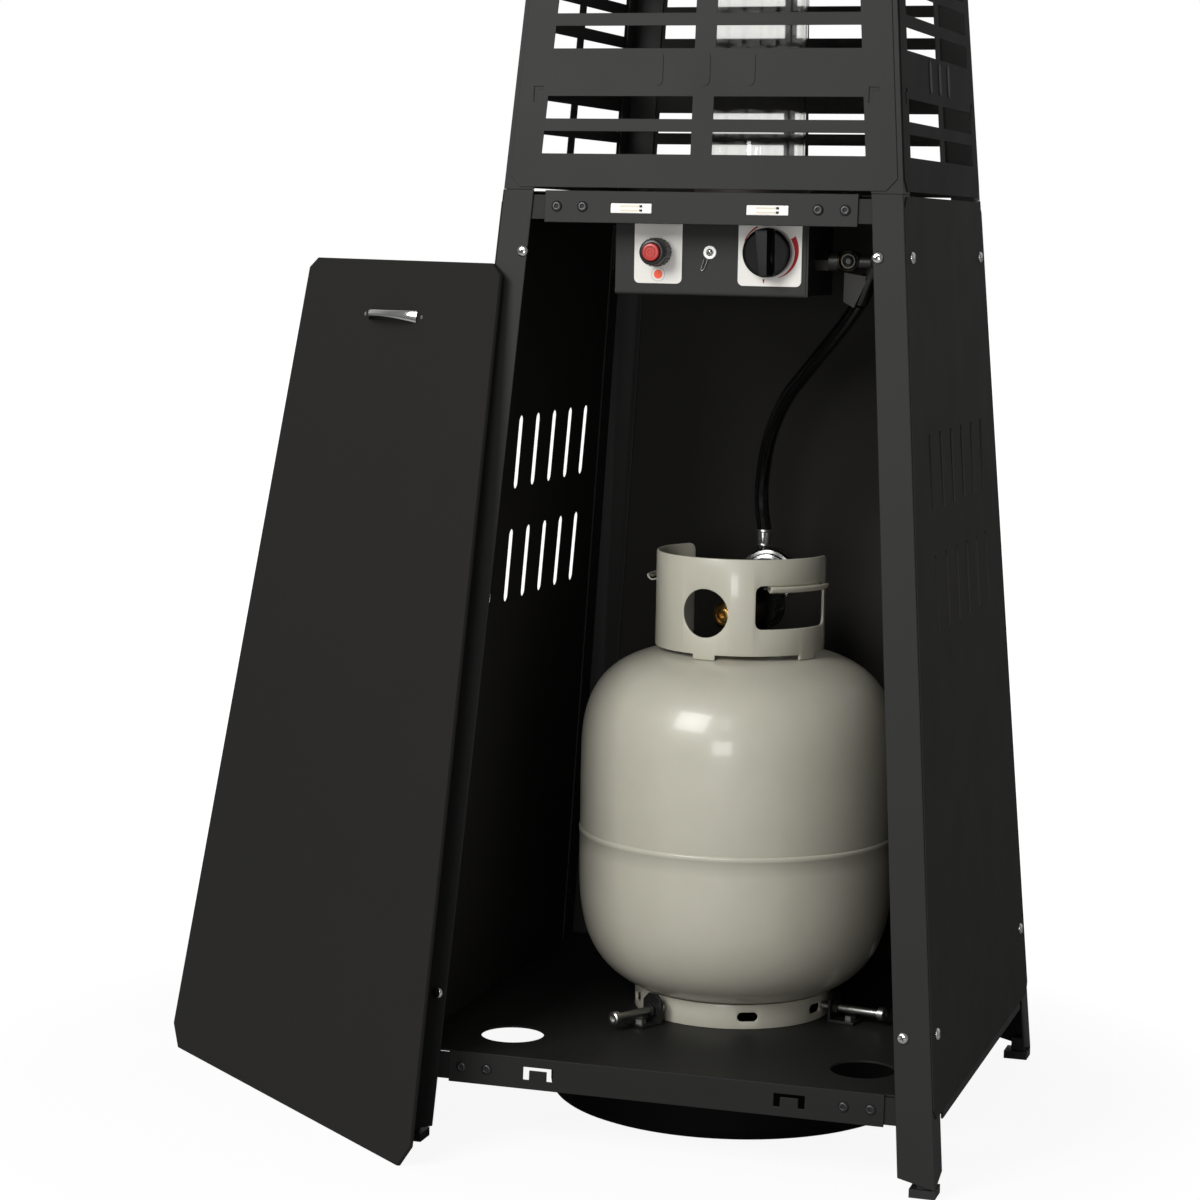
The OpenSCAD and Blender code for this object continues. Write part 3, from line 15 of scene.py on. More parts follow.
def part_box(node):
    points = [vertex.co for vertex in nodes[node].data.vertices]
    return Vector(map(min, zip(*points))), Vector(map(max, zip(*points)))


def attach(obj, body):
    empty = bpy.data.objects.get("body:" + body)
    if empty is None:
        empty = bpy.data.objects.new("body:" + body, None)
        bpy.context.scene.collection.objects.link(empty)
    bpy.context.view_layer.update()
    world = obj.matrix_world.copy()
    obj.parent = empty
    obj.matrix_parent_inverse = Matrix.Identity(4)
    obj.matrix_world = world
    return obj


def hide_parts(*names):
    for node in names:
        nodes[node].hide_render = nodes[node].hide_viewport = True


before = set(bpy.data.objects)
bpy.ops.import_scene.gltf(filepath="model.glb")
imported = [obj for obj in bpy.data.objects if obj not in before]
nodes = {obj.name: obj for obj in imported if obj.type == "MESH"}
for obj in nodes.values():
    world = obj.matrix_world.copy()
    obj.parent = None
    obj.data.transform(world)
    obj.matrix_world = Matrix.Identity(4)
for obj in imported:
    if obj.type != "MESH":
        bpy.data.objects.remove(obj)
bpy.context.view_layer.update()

# %% [markdown]
# The frame is in metres, and places are written here in millimetres. The middle of the tower is
# not the origin, because the panel that leans beside the heater counts in the footprint. The
# flame tube stands on the tower's axis, so its box gives the axis, and all other places are
# measured from there.

# %% The tower's axis
tube_low, tube_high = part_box("glass_tube")
axis = Vector(((tube_low.x + tube_high.x) / 2, (tube_low.y + tube_high.y) / 2, 0))
mm = 0.001


def place(x, y, z):
    """A point given in millimetres from the tower's axis at floor level."""
    return axis + Vector((x, y, z)) * mm


print("axis at", [round(c, 4) for c in axis])

# %% [markdown]
# ## The camera
# The photo was taken from a little right of the front, with a long lens at chest height. The
# place, the turn and the lens come from matching posts, rails, screws and the cylinder with their
# sizes.

# %% Camera
camera_data = bpy.data.cameras.new("photo_camera")
camera_data.lens = 90.085
camera_data.sensor_width = 36
camera_data.clip_end = 100
camera_place = place(739.3, -2827.7, 851.6)
camera = bpy.data.objects.new("photo_camera", camera_data)
right = Vector((0.95351897, 0.30083196, 0.01736971))
above = Vector((-0.05287719, 0.11029453, 0.99249137))
ahead = Vector((-0.29665734, 0.94727781, -0.12107507))
turn = Matrix((right, above, -ahead)).transposed().to_4x4()
camera.matrix_world = Matrix.Translation(camera_place) @ turn
bpy.context.collection.objects.link(camera)
bpy.context.scene.camera = camera
print("camera at", [round(c, 3) for c in camera.location])

# %% [markdown]
# ## The hose
# A gas hose is a stiff rubber tube, 0.335 m long here, and both of its ends show. It leaves the
# regulator upwards, swings out and climbs to the inlet. A curve with a round bevel keeps its
# thickness exactly and bends without facets, so the hose is a curve and not a mesh.

# %% Hose
hose_diameter = 14 * mm
hose_points = [(-1.6, 87.31, 560), (-3.4, 84, 576), (-4.2, 81.5, 597), (-2, 76.7, 615),
               (2, 69, 633), (8, 58.2, 651), (15.4, 47.5, 667.5), (26, 33, 685),
               (38.5, 18, 702), (51.8, 4, 715.5), (72, -18.5, 735.5), (94, -43.5, 756.5),
               (113.5, -66.8, 776), (128.55, -86.22, 792.78)]


def smooth_path(points, steps):
    """A path through the points, with `steps` stretches between each pair of neighbours."""
    ends = [points[0] * 2 - points[1]] + points + [points[-1] * 2 - points[-2]]
    path = []
    for i in range(1, len(ends) - 2):
        a, b, c, d = ends[i - 1:i + 3]
        for step in range(steps):
            t = step / steps
            path.append(0.5 * (2 * b + (c - a) * t + (2 * a - 5 * b + 4 * c - d) * t * t
                               + (3 * b - a - 3 * c + d) * t ** 3))
    return path + [points[-1]]


def round_curve(name, path, diameter):
    """A curve object with a round section. Each point's radius scales a bevel of 1 m."""
    data = bpy.data.curves.new(name, "CURVE")
    data.dimensions = "3D"
    data.bevel_depth = 1.0
    data.bevel_resolution = 6
    data.use_fill_caps = True
    spline = data.splines.new("POLY")
    spline.points.add(len(path) - 1)
    for point, co in zip(spline.points, path):
        point.co = (*co, 1)
        point.radius = diameter / 2
    made = bpy.data.objects.new(name, data)
    bpy.context.collection.objects.link(made)
    return made


hose_path = smooth_path([place(*p) for p in hose_points], 4)
hose = round_curve("gas_hose_skin", hose_path, hose_diameter)
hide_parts("gas_hose")
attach(hose, "heater")

# %% [markdown]
# ## Shapes
# Small pieces are drawn in millimetres in a frame of their own, such as one that lies on a
# leaning face, and are then carried to their place. The objects stay at the origin, with their
# place in the mesh. Each face stands half a base width from the axis at the floor, and leans in
# by the taper for every millimetre of height.

# %% Frames for the pieces
millimetres = Matrix.Translation(axis) @ Matrix.Scale(mm, 4)
half_base = 258.0
taper = 0.0793
lean = math.atan(taper)


def spin_x(degrees):
    """A turn round x."""
    return Matrix.Rotation(math.radians(degrees), 4, "X")


def spin_y(degrees):
    """A turn round y."""
    return Matrix.Rotation(math.radians(degrees), 4, "Y")


def spin_z(degrees):
    """A turn round z."""
    return Matrix.Rotation(math.radians(degrees), 4, "Z")


def shift(x, y, z):
    """A move without a turn."""
    return Matrix.Translation((x, y, z))


def on_face(side, x, z, out=0.0):
    """A frame on a leaning face: x along it, y up it, z out of it. Side 0 is the front."""
    return (millimetres @ spin_z(90 * side) @ shift(0, -half_base, 0)
            @ spin_x(90 - math.degrees(lean)) @ shift(x, z / math.cos(lean), out))


def facing_front(x, y, z):
    """A frame whose z points out of the doorway and whose y points up."""
    return millimetres @ shift(x, y, z) @ spin_x(90)


def within(at):
    """The same frame in millimetres from the axis, for a piece that is joined to others."""
    return millimetres.inverted() @ at


tank = millimetres @ shift(-3.5, 10.5, 90)
print("frames ready, lean", round(math.degrees(lean), 2))

# %% [markdown]
# A turned piece is an outline of radius and height pairs that is spun round its axis. A prism is
# a flat outline with a thickness. The edges of both are bevelled, because real edges catch the
# light.

# %% Mesh helpers
def turned(outline, steps=64):
    """Spins (radius, height) pairs round z. One that starts and ends at radius 0 is closed."""
    mesh = bmesh.new()
    corners = [mesh.verts.new((radius, 0, height)) for radius, height in outline]
    edges = [mesh.edges.new(pair) for pair in zip(corners, corners[1:])]
    bmesh.ops.spin(mesh, geom=corners + edges, cent=(0, 0, 0), axis=(0, 0, 1),
                   angle=math.tau, steps=steps, use_merge=True)
    bmesh.ops.remove_doubles(mesh, verts=mesh.verts, dist=1e-5)
    return mesh


def prism(outline, low, high):
    """A flat outline of (x, y) pairs with a thickness from `low` to `high` along z."""
    mesh = bmesh.new()
    bottom = [mesh.verts.new((x, y, low)) for x, y in outline]
    top = [mesh.verts.new((x, y, high)) for x, y in outline]
    mesh.faces.new(bottom[::-1])
    mesh.faces.new(top)
    for i, j in zip(range(len(outline)), [*range(1, len(outline)), 0]):
        mesh.faces.new((bottom[i], bottom[j], top[j], top[i]))
    return mesh


def soften(mesh, width, segments=2, angle=30, clamp=True):
    """Bevels every edge that is sharper than `angle` degrees."""
    sharp = [edge for edge in mesh.edges
             if len(edge.link_faces) == 2 and edge.calc_face_angle() > math.radians(angle)]
    bmesh.ops.bevel(mesh, geom=sharp, affect="EDGES", offset=width, segments=segments,
                    profile=0.5, material=-1, clamp_overlap=clamp)
    return mesh


def moved(mesh, matrix):
    """Moves all of a mesh."""
    bmesh.ops.transform(mesh, matrix=matrix, verts=mesh.verts)
    return mesh


def joined(*meshes):
    """One mesh from several."""
    whole = bmesh.new()
    for mesh in meshes:
        part = bpy.data.meshes.new("part")
        mesh.to_mesh(part)
        whole.from_mesh(part)
        bpy.data.meshes.remove(part)
        mesh.free()
    return whole


def circle(radius, count, start=0.0):
    """Points of a regular polygon."""
    return [(radius * math.cos(start + math.tau * i / count),
             radius * math.sin(start + math.tau * i / count)) for i in range(count)]


def rounded_box(x0, x1, y0, y1, radius, steps):
    """The outline of a rectangle with round corners."""
    points = []
    for cx, cy, quarter in ((x1 - radius, y1 - radius, 0), (x0 + radius, y1 - radius, 1),
                            (x0 + radius, y0 + radius, 2), (x1 - radius, y0 + radius, 3)):
        for i in range(steps + 1):
            angle = math.pi / 2 * (quarter + i / steps)
            points.append((cx + radius * math.cos(angle), cy + radius * math.sin(angle)))
    return points


def make(name, mesh, at, body="heater", replaces=(), smooth=40):
    """Makes a piece of a mesh, carried by `at`, on a body. Without `smooth` its faces are flat."""
    moved(mesh, at)
    bmesh.ops.recalc_face_normals(mesh, faces=mesh.faces)
    data = bpy.data.meshes.new(name)
    mesh.to_mesh(data)
    mesh.free()
    piece = bpy.data.objects.new(name, data)
    bpy.context.collection.objects.link(piece)
    if smooth:
        data.shade_smooth()
        data.set_sharp_from_angle(angle=math.radians(smooth))
    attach(piece, body)
    if replaces:
        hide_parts(*replaces)
    print(name, len(data.polygons), "faces")
    return piece


# %% [markdown]
# ## The cylinder
# The cylinder's shell is spun smoothly, with a rolled weld seam below its middle and a boss for
# the valve. Its ends are superellipses, flatter than a circle on top and tighter at the shoulder.

# %% Cylinder shell
tank_r, head_power = 155.5, 3.2
head_low, head_low_rise = 160.0, 146.0
head_high, head_high_rise = 240.0, 122.0
seam_z = 180.0


def head(start, rise):
    """Half an end of the cylinder, from its shoulder to its middle."""
    points, count = [], 30
    for i in range(count + 1):
        angle = math.pi / 2 * i / count
        points.append((tank_r * abs(math.cos(angle)) ** (2 / head_power),
                       start + rise * math.sin(angle) ** (2 / head_power)))
    points[-1] = (0.0, start + rise)
    return points


seam = [(tank_r, seam_z - 5.0), (tank_r + 0.5, seam_z - 4.4), (tank_r + 0.9, seam_z - 2.4),
        (tank_r + 1.0, seam_z - 0.6), (tank_r + 0.5, seam_z + 0.4), (tank_r - 0.5, seam_z + 1.0),
        (tank_r - 0.3, seam_z + 2.0), (tank_r, seam_z + 3.4)]
shell = turned(head(head_low, -head_low_rise)[::-1] + seam + head(head_high, head_high_rise), 144)
valve_boss = turned([(0, 350), (25, 350), (25, 364.5), (23.5, 366), (0, 366)])
make("cylinder_shell", joined(shell, valve_boss), tank, replaces=["tank_body"])

# %% [markdown]
# ## The controls
# The gas knob is a disc with a rounded rim. Its grip bar has three levels: a foot, a shoulder and
# a crest. It narrows towards its crest and towards its lower end, and its right side has a skirt.
# The crest leans a little upwards, so that it catches light from above. A level is given by its
# height, the half widths of its upper and lower ends, its skirt, and its lean up and to the left.

# %% Gas knob
knob_frame = facing_front(56.2, -152.3, 837)
disc = turned([(0, 0.3), (22.0, 0.3), (22.6, 1.2), (22.6, 6.2), (22.0, 7.8), (20.6, 8.8),
               (20.0, 9.0), (19.5, 8.4), (0, 8.2)], 96)
bar_half_length, bar_left, bar_slant = 20.6, 1.2, 1.6
bar_levels = ((7.0, 8.0, 5.4, 3.4, 0, 0), (12.0, 6.8, 4.5, 3.4, 0, 0),
              (18.0, 5.6, 3.4, 0, 1.2, 0.3))
ridge = bmesh.new()
for height, upper_half, lower_half, skirt, lean_up, lean_left in bar_levels:
    for end_x, end_y in ((-1, -1), (1, -1), (1, 1), (-1, 1)):
        half = upper_half if end_y > 0 else lower_half
        side_skirt = skirt if end_x > 0 else 0
        ridge.verts.new((end_x * half + side_skirt - bar_left - bar_slant * end_y,
                         end_y * bar_half_length, height - lean_up * end_y + lean_left * end_x))
ridge.verts.ensure_lookup_table()
ridge.faces.new([ridge.verts[i] for i in (3, 2, 1, 0)])
for level in range(2):
    for i in range(4):
        j = (i + 1) % 4
        ridge.faces.new([ridge.verts[4 * level + k] for k in (i, j)]
                        + [ridge.verts[4 * level + 4 + k] for k in (j, i)])
ridge.faces.new([ridge.verts[i] for i in (8, 9, 10, 11)])
soften(ridge, 1.2, 3, 20)
make("gas_knob_cap", joined(disc, ridge), knob_frame, body="knob_body",
     replaces=["gas_knob"])

# %% [markdown]
# The igniter is a red button in a black collar with 24 ribs. Two shallow grooves ring the
# button's face.

# %% Igniter
igniter_frame = facing_front(-49.4, -147.8, 835.6)
collar_ring = turned([(8.4, -20), (11, -20), (11, 0), (12.4, 0), (12.4, 19.6), (11.8, 21.8),
                      (10.6, 22.6), (9.2, 22.8), (8.4, 22.0), (8.4, -20)], 72)
rib_count = 24
ribs = [moved(prism(rounded_box(11.8, 13.2, -0.8, 0.8, 0.4, 2), 1.0, 15.5),
              spin_z(360 / rib_count * i)) for i in range(rib_count)]
make("igniter_ring", joined(collar_ring, *ribs), igniter_frame,
     replaces=["igniter_body"])
button = turned([(0, 6), (8.1, 6), (8.1, 25.0), (7.7, 26.0), (6.8, 26.4), (5.6, 26.4), (5.2, 25.7),
                 (4.6, 25.7), (4.2, 26.3), (2.6, 26.3), (2.3, 25.8), (1.7, 25.8), (1.4, 26.2),
                 (0, 26.2)], 64)
make("igniter_cap", button, igniter_frame, body="igniter_button_body",
     replaces=["igniter_button"])

# %% [markdown]
# The label plates are thin film with round corners. They carry a scale of two plain arcs and a
# mark round the knob, and one round mark with a ring under the igniter.

# %% Marks on the label plates
def arc_band(radius_0, width_0, width_1, from_angle, to_angle, steps=36):
    """A band round the origin whose width changes from one end to the other."""
    outer, inner = [], []
    for i in range(steps + 1):
        angle = math.radians(from_angle + (to_angle - from_angle) * i / steps)
        width = width_0 + (width_1 - width_0) * i / steps
        outer.append(((radius_0 + width) * math.cos(angle), (radius_0 + width) * math.sin(angle)))
        inner.append((radius_0 * math.cos(angle), radius_0 * math.sin(angle)))
    return outer + inner[::-1]


box_face, film_face = -147.0, -147.8
plate_frame = facing_front(0, box_face, 0)
plate_top, film_thick, ink_thick = 867.5, 0.8, 0.12
for name, node, x0, x1, low in (("igniter_label", "igniter_plate", -72.4, -26.6, 807.0),
                                ("knob_label", "knob_plate", 26.9, 86.7, 806.4)):
    film = prism(rounded_box(x0, x1, low, plate_top, 5, 8), 0, film_thick)
    make(name, soften(film, 0.25, 2, 60), plate_frame, replaces=[node])
marks_frame = facing_front(57, film_face, 836.5)
arcs = [prism(arc_band(23.2, 5.2, 0.5, 34, -70), 0, ink_thick),
        prism(arc_band(26.0, 0.8, 1.7, 156, 117), 0, ink_thick),
        prism([(-6.6, -23.6), (-4.6, -23.9), (-5.4, -27.4), (-6.0, -27.3)], 0, ink_thick)]
make("dial_scale", joined(*arcs), marks_frame)
dot_frame = facing_front(-49.2, film_face, 815.4)
make("igniter_mark", prism(circle(4.1, 40), 0, 0.14), dot_frame)
rings = [prism(arc_band(6.1, 0.5, 0.5, start, start + 180, 24), 0, ink_thick)
         for start in (0, 180)]
make("igniter_mark_ring", joined(*rings), dot_frame)

# %% [markdown]
# ## Folded and welded steel
# Steel that has been cut and folded never has a knife edge: a rounded edge draws the thin line of
# light that gives a black panel its shape. A CAD mesh is loose triangles, so a copy of it is
# merged, its flat faces are joined up, and the sharp edges that are left are bevelled. A bevel
# can push a corner out, so every corner is then kept inside the box of the solid.

# %% Rounded copies
merge_gap = 2e-6
flat_within = math.radians(0.4)


def eased(node, name, width, body="heater", smooth=0):
    """A copy of a CAD node with sharp edges rounded by `width` millimetres, to stand for it."""
    mesh = bmesh.new()
    mesh.from_mesh(nodes[node].data)
    bmesh.ops.remove_doubles(mesh, verts=mesh.verts, dist=merge_gap)
    bmesh.ops.dissolve_limit(mesh, angle_limit=flat_within, verts=mesh.verts, edges=mesh.edges)
    low = [min(vert.co[i] for vert in mesh.verts) for i in range(3)]
    high = [max(vert.co[i] for vert in mesh.verts) for i in range(3)]
    soften(mesh, width * mm, clamp=False)
    for vert in mesh.verts:
        vert.co = [min(max(c, a), b) for c, a, b in zip(vert.co, low, high)]
    make(name, mesh, Matrix(), body, [node], smooth)


eased("front_panel", "door_skin", 0.6, "front_panel_body")
for side in ("front", "right", "rear", "left"):
    eased(f"guard_{side}", f"guard_skin_{side}", 0.35)
eased("lower_posts", "lower_post_skins", 0.6)
eased("top_rail", "rail_skin", 0.5)
eased("control_box", "box_skin", 0.5)
eased("bottom_board", "board_skin", 0.5)
eased("tank_collar", "collar_skin", 0.9, smooth=40)
eased("tank_foot_ring", "foot_ring_skin", 0.7, smooth=40)
eased("clamp_brackets", "clamp_bracket_skins", 0.6)
eased("magnetic_catches", "catch_housings", 0.7)

# %% [markdown]
# The control box is folded from one sheet. Its front bends round into the floor of the box, and a
# narrow return stands at its right edge.

# %% Bends of the control box
bend_y, bend_z, bend_radius, bend_half = -147.2, 799.2, 2.6, 91
bend_angles = [math.pi / 16 * i for i in range(9)]
bend = [(bend_y + bend_radius * (1 - math.cos(angle)), bend_z - bend_radius * math.sin(angle))
        for angle in bend_angles]
bend_outline = [(bend_y, 801.5)] + bend + [(-136, 796.6), (-136, 798.2), (-144.2, 801.5)]
sideways = Matrix(((0, 0, 1, 0), (1, 0, 0, 0), (0, 1, 0, 0), (0, 0, 0, 1)))
bend_mesh = moved(prism(bend_outline, -bend_half, bend_half), sideways)
strip_deep = 9
return_strip = prism([(91.3, 797.4), (93.0, 797.4), (93.0, 866), (91.3, 866)], 0, strip_deep)
return_place = shift(0, -147.6, 0) @ spin_x(90) @ shift(0, 0, -strip_deep)
make("box_bend", joined(bend_mesh, moved(soften(return_strip, 0.5, 2), return_place)), millimetres,
     smooth=30)

# %% [markdown]
# Each guard carries three pressed beads between its rows of slots. A bead is a shallow pill that
# stands half a millimetre proud of the sheet.

# %% Pressed beads
beads = []
bead_places, bead_z = (-43.9, 0.3, 42.3), 1000.8
for side in range(4):
    for x in bead_places:
        pill = soften(prism(rounded_box(-5, 5, -15.2, 15.2, 5, 10), -0.4, 0.7), 0.5, 3, 60)
        beads.append(moved(pill, within(on_face(side, x, bead_z, 1.0))))
make("guard_beads", joined(*beads), millimetres)

# %% [markdown]
# ## Fasteners
# The black screws have a low round head with a round socket. The socket's floor is a separate
# disc, so that it can stay darker than the head.

# %% Black screws
rail_z, board_z = 876, 75.35
heads, sockets = [], []
for x, z in ((110.6, rail_z), (135.4, rail_z), (170.4, board_z), (195.3, board_z)):
    for end in (-1, 1):
        spot = within(on_face(0, end * x, z))
        screw = turned([(0, -0.3), (5, -0.3), (5, 0.5), (4.6, 1.2), (3.6, 1.8), (2.6, 2.0),
                        (2.0, 1.8), (1.8, 1.4), (1.8, 0.8), (0, 0.8)], 40)
        heads.append(moved(screw, spot))
        sockets.append(moved(prism(circle(1.78, 24), 0.7, 0.86), spot))
make("black_screw_heads", joined(*heads), millimetres, replaces=["black_screws"])
make("black_screw_sockets", joined(*sockets), millimetres)

# %% [markdown]
# The bright frame screws have a low pan head with a cross recess. Two stand near each edge of
# every face, and on three of the faces they sit on top of a panel.

# %% Frame screws
def cross_recess(at, half_width, low, high, degrees):
    """The two bars of a cross recess, turned by some degrees."""
    outline = [(-half_width, -2.3), (half_width, -2.3), (half_width, 2.3), (-half_width, 2.3)]
    return [moved(prism(outline, low, high), at @ spin_z(degrees + 90 * i)) for i in range(2)]


edge_gap, panel_thick = 25, 1.2
heads, crosses = [], []
for side in range(4):
    for z in (142.5, 834.7):
        for end in (-1, 1):
            spot = within(on_face(side, end * (half_base - taper * z - edge_gap), z,
                                  panel_thick if side else 0))
            heads.append(moved(turned([(0, -0.2), (5.5, -0.2), (5.5, 0.5), (5.2, 1.3), (4.3, 2.2),
                                       (2.8, 2.8), (0, 2.9)], 40), spot))
            crosses += cross_recess(spot, 0.5, 2.2, 2.95, 25)
make("frame_screw_heads", joined(*heads), millimetres, replaces=["frame_screws"])
make("frame_screw_crosses", joined(*crosses), millimetres, smooth=0)

# %% [markdown]
# The screw of the control box sits in a wide plain washer and holds a small wire clip.

# %% Box screw
box_front = facing_front(0, box_face, 836.2)
washer = turned([(3.2, -0.2), (6.2, -0.2), (6.2, 1.1), (5.8, 1.6), (3.7, 1.6), (3.2, 1.2),
                 (3.2, -0.2)], 48)
screw_head = turned([(0, 0), (3.4, 0), (3.4, 1.6), (2.9, 2.6), (1.9, 3.2), (0, 3.4)], 40)
make("box_screw_washer", washer, box_front)
make("box_screw_head", screw_head, box_front, replaces=["box_screw"])
make("box_screw_cross", joined(*cross_recess(Matrix(), 0.45, 2.9, 3.42, 30)), box_front)
clip_points = [(-2.0, -6.2, 1.8), (-3.1, -10.0, 1.5), (-4.6, -13.8, 1.2), (-6.2, -16.2, 1.0),
               (-7.8, -16.4, 1.0), (-7.9, -14.6, 1.0), (-6.7, -10.6, 1.4), (-5.3, -6.6, 1.8)]
clip = round_curve("box_screw_clip", smooth_path([box_front @ Vector(p) for p in clip_points], 5),
                   0.8 * mm)
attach(clip, "heater")

# %% [markdown]
# Each magnetic catch shows two thin pole strips that end in a dark hook.

# %% Catch strips
catch_x = 64
strips, hooks = [], []
for end in (-1, 1):
    for row in (-1, 1):
        spot = within(on_face(0, end * catch_x, rail_z, 0.6)) @ shift(0, -1.0 + 1.9 * row, 0)
        strip = prism(rounded_box(-10.4, 9, -0.65, 0.65, 0.3, 2), -0.3, 0.45)
        hook = prism(rounded_box(8.2, 10.6, -1.0, 1.0, 0.4, 2), -0.3, 0.7)
        strips.append(moved(soften(strip, 0.15, 2, 60), spot))
        hooks.append(moved(soften(hook, 0.15, 2, 60), spot))
make("catch_tongues", joined(*strips), millimetres, replaces=["catch_strips"])
make("catch_hooks", joined(*hooks), millimetres)

# %% [markdown]
# ## The panel's handle
# The handle is a bow of polished steel. It is narrow and round in the middle and flares into flat
# feet, so it is lofted: closed rings of points along the bow, joined by a skin. The panel stands
# turned and leaning, and the door's frame has x along its lower edge and y up its face.

# %% Handle
door_yaw, door_lean = math.radians(39.2), math.radians(8.8)
door_along = Vector((math.cos(door_yaw), -math.sin(door_yaw), 0))
door_up = Vector((math.sin(door_yaw) * math.sin(door_lean),
                  math.cos(door_yaw) * math.sin(door_lean), math.cos(door_lean)))
door_out = door_along.cross(door_up)
door = (millimetres @ shift(-407.212, -187.670, 0.612)
        @ Matrix((door_along, door_up, door_out)).transposed().to_4x4())


def lofted(rings):
    """Joins closed rings of points with a skin and closes both ends."""
    mesh = bmesh.new()
    loops = []
    for ring_points in rings:
        corners = [mesh.verts.new(point) for point in ring_points]
        loops.append([mesh.edges.new(pair) for pair in zip(corners, corners[1:] + corners[:1])])
        if len(loops) in (1, len(rings)):
            mesh.faces.new(corners)
    for lower, upper in zip(loops, loops[1:]):
        bmesh.ops.bridge_loops(mesh, edges=lower + upper)
    return mesh


handle_height, bow_half, bow_rise, bow_steps = 778, 46.0, 15.5, 24
bow_rings = []
for i in range(-bow_steps, bow_steps + 1):
    t = i / bow_steps
    s, z = bow_half * t, bow_rise * (1 - abs(t) ** 2.4)
    slope_angle = math.atan2(-bow_rise * 2.4 * abs(t) ** 1.4 * (1 if t > 0 else -1), bow_half)
    half_width = 3.3 + 2.6 * abs(t) ** 2.2
    half_thick = 2.3 - 0.9 * abs(t) ** 2
    ring_points = []
    for k in range(20):
        angle = math.tau * k / 20
        across = half_width * math.copysign(abs(math.cos(angle)) ** 0.75, math.cos(angle))
        out = half_thick * math.copysign(abs(math.sin(angle)) ** 0.9, math.sin(angle))
        ring_points.append((s - out * math.sin(slope_angle), across,
                            max(0.0, z + out * math.cos(slope_angle))))
    bow_rings.append(ring_points)
make("handle_bow", lofted(bow_rings), door @ shift(0, handle_height, 0),
     "front_panel_body", ["panel_handle"], 60)

# %% [markdown]
# ## Gas line
# The hose's lower end sits in a crimped sleeve, whose jaws left eight shallow flutes and a plain
# ring at each end. Its profile lists a height, the depth of the flutes and a radius. The hose's
# upper end runs into a rubber sleeve on the elbow, along the line that the elbow points.

# %% Sleeves
sleeve_length, flutes, around = 17, 8, 64
sleeve_profile = ((0, 0, 6.4), (0.6, 0, 7.1), (2.2, 0, 7.2), (2.8, 0, 6.8), (3.4, 0.3, 7.1),
                  (sleeve_length - 3.4, 0.3, 7.3), (sleeve_length - 2.8, 0, 7.1),
                  (sleeve_length - 2.2, 0, 7.7), (sleeve_length - 0.6, 0, 7.7),
                  (sleeve_length, 0, 7.3))
sleeve_rings = []
for height, flute, radius in sleeve_profile:
    ring_points = []
    for k in range(around):
        angle = math.tau * k / around
        reach = radius + flute * math.cos(flutes * angle)
        ring_points.append((reach * math.cos(angle), reach * math.sin(angle), height))
    sleeve_rings.append(ring_points)
crimped = moved(lofted(sleeve_rings), shift(-1.6, 87.31, 543))
lower_sleeve = make("crimped_sleeve", crimped, millimetres,
                    replaces=["hose_ferrules"])
elbow_end = Vector((148.0, -105.0, 830.0))
tilt, azimuth = math.radians(36), math.radians(-44)
hose_way = Vector((math.sin(tilt) * math.cos(azimuth), math.sin(tilt) * math.sin(azimuth),
                   math.cos(tilt)))
upper_turn = (-hose_way).to_track_quat("Z", "Y").to_matrix().to_4x4()
upper_place = shift(*(elbow_end - 18 * hose_way)) @ upper_turn
rubber = turned([(0, -3), (7.2, -3), (7.6, -2), (7.6, 24), (7.2, 28), (0, 28)], 48)
upper_sleeve = make("rubber_sleeve", moved(rubber, upper_place), millimetres)

# %% [markdown]
# A blank paper flag is stuck to the rubber sleeve. The elbow has a round boss that faces the
# doorway, with a brass rim, and a brass barrel and a six-sided union nut join it to the control
# box.

# %% Flag and elbow
flag = bmesh.new()
flag_corners = [Vector(p) for p in ((116.8, -104, 820.0), (139.9, -105.2, 816.3),
                                    (124.6, -95.5, 787.6), (114.7, -96, 792.8))]
flag_across, flag_down = flag_corners[1] - flag_corners[3], flag_corners[2] - flag_corners[0]
flag_thickness = 0.6 * flag_down.cross(flag_across).normalized()
front = [flag.verts.new(p) for p in flag_corners]
back = [flag.verts.new(p - flag_thickness) for p in flag_corners]
flag.faces.new(front)
flag.faces.new(back[::-1])
for i in range(4):
    j = (i + 1) % 4
    flag.faces.new((front[i], front[j], back[j], back[i]))
blank_flag = make("blank_flag", flag, millimetres, replaces=["hose_tag"], smooth=0)
boss = turned([(0, -10), (9.4, -10), (9.4, 8), (8.8, 9.0), (7.8, 9.2), (6.2, 9.0), (5.4, 9.0),
               (4.8, 10), (3.2, 10.6), (2.4, 9.4), (0, 9.4)], 56)
inlet_y = -105
boss_frame = facing_front(122.4, inlet_y, 830.5)
make("elbow_boss", boss, boss_frame)
rim = turned([(6.8, 8.6), (8.6, 8.6), (8.6, 10.0), (7.7, 10.6), (6.8, 10.0), (6.8, 8.6)], 56)
barrel = turned([(0, 0), (8.2, 0), (8.2, 3), (7.4, 4), (7.4, 14), (0, 14)], 40)
make("elbow_brass", joined(moved(rim, within(boss_frame)),
                           moved(barrel, shift(102, inlet_y, 831.5) @ spin_y(90))),
     millimetres)
union_nut = soften(prism(circle(11, 6, math.pi / 6), 0, 13), 1.2)
make("union_nut", union_nut, millimetres @ shift(90.5, inlet_y, 831) @ spin_y(90),
     replaces=["inlet_nut"])

# %% [markdown]
# ## Regulator
# The regulator is a polished diecast disc that stands on edge behind the cylinder's valve. Its
# front has turned steps and its rim two raised bands. A spigot leads down and a neck leads up to
# the hose.

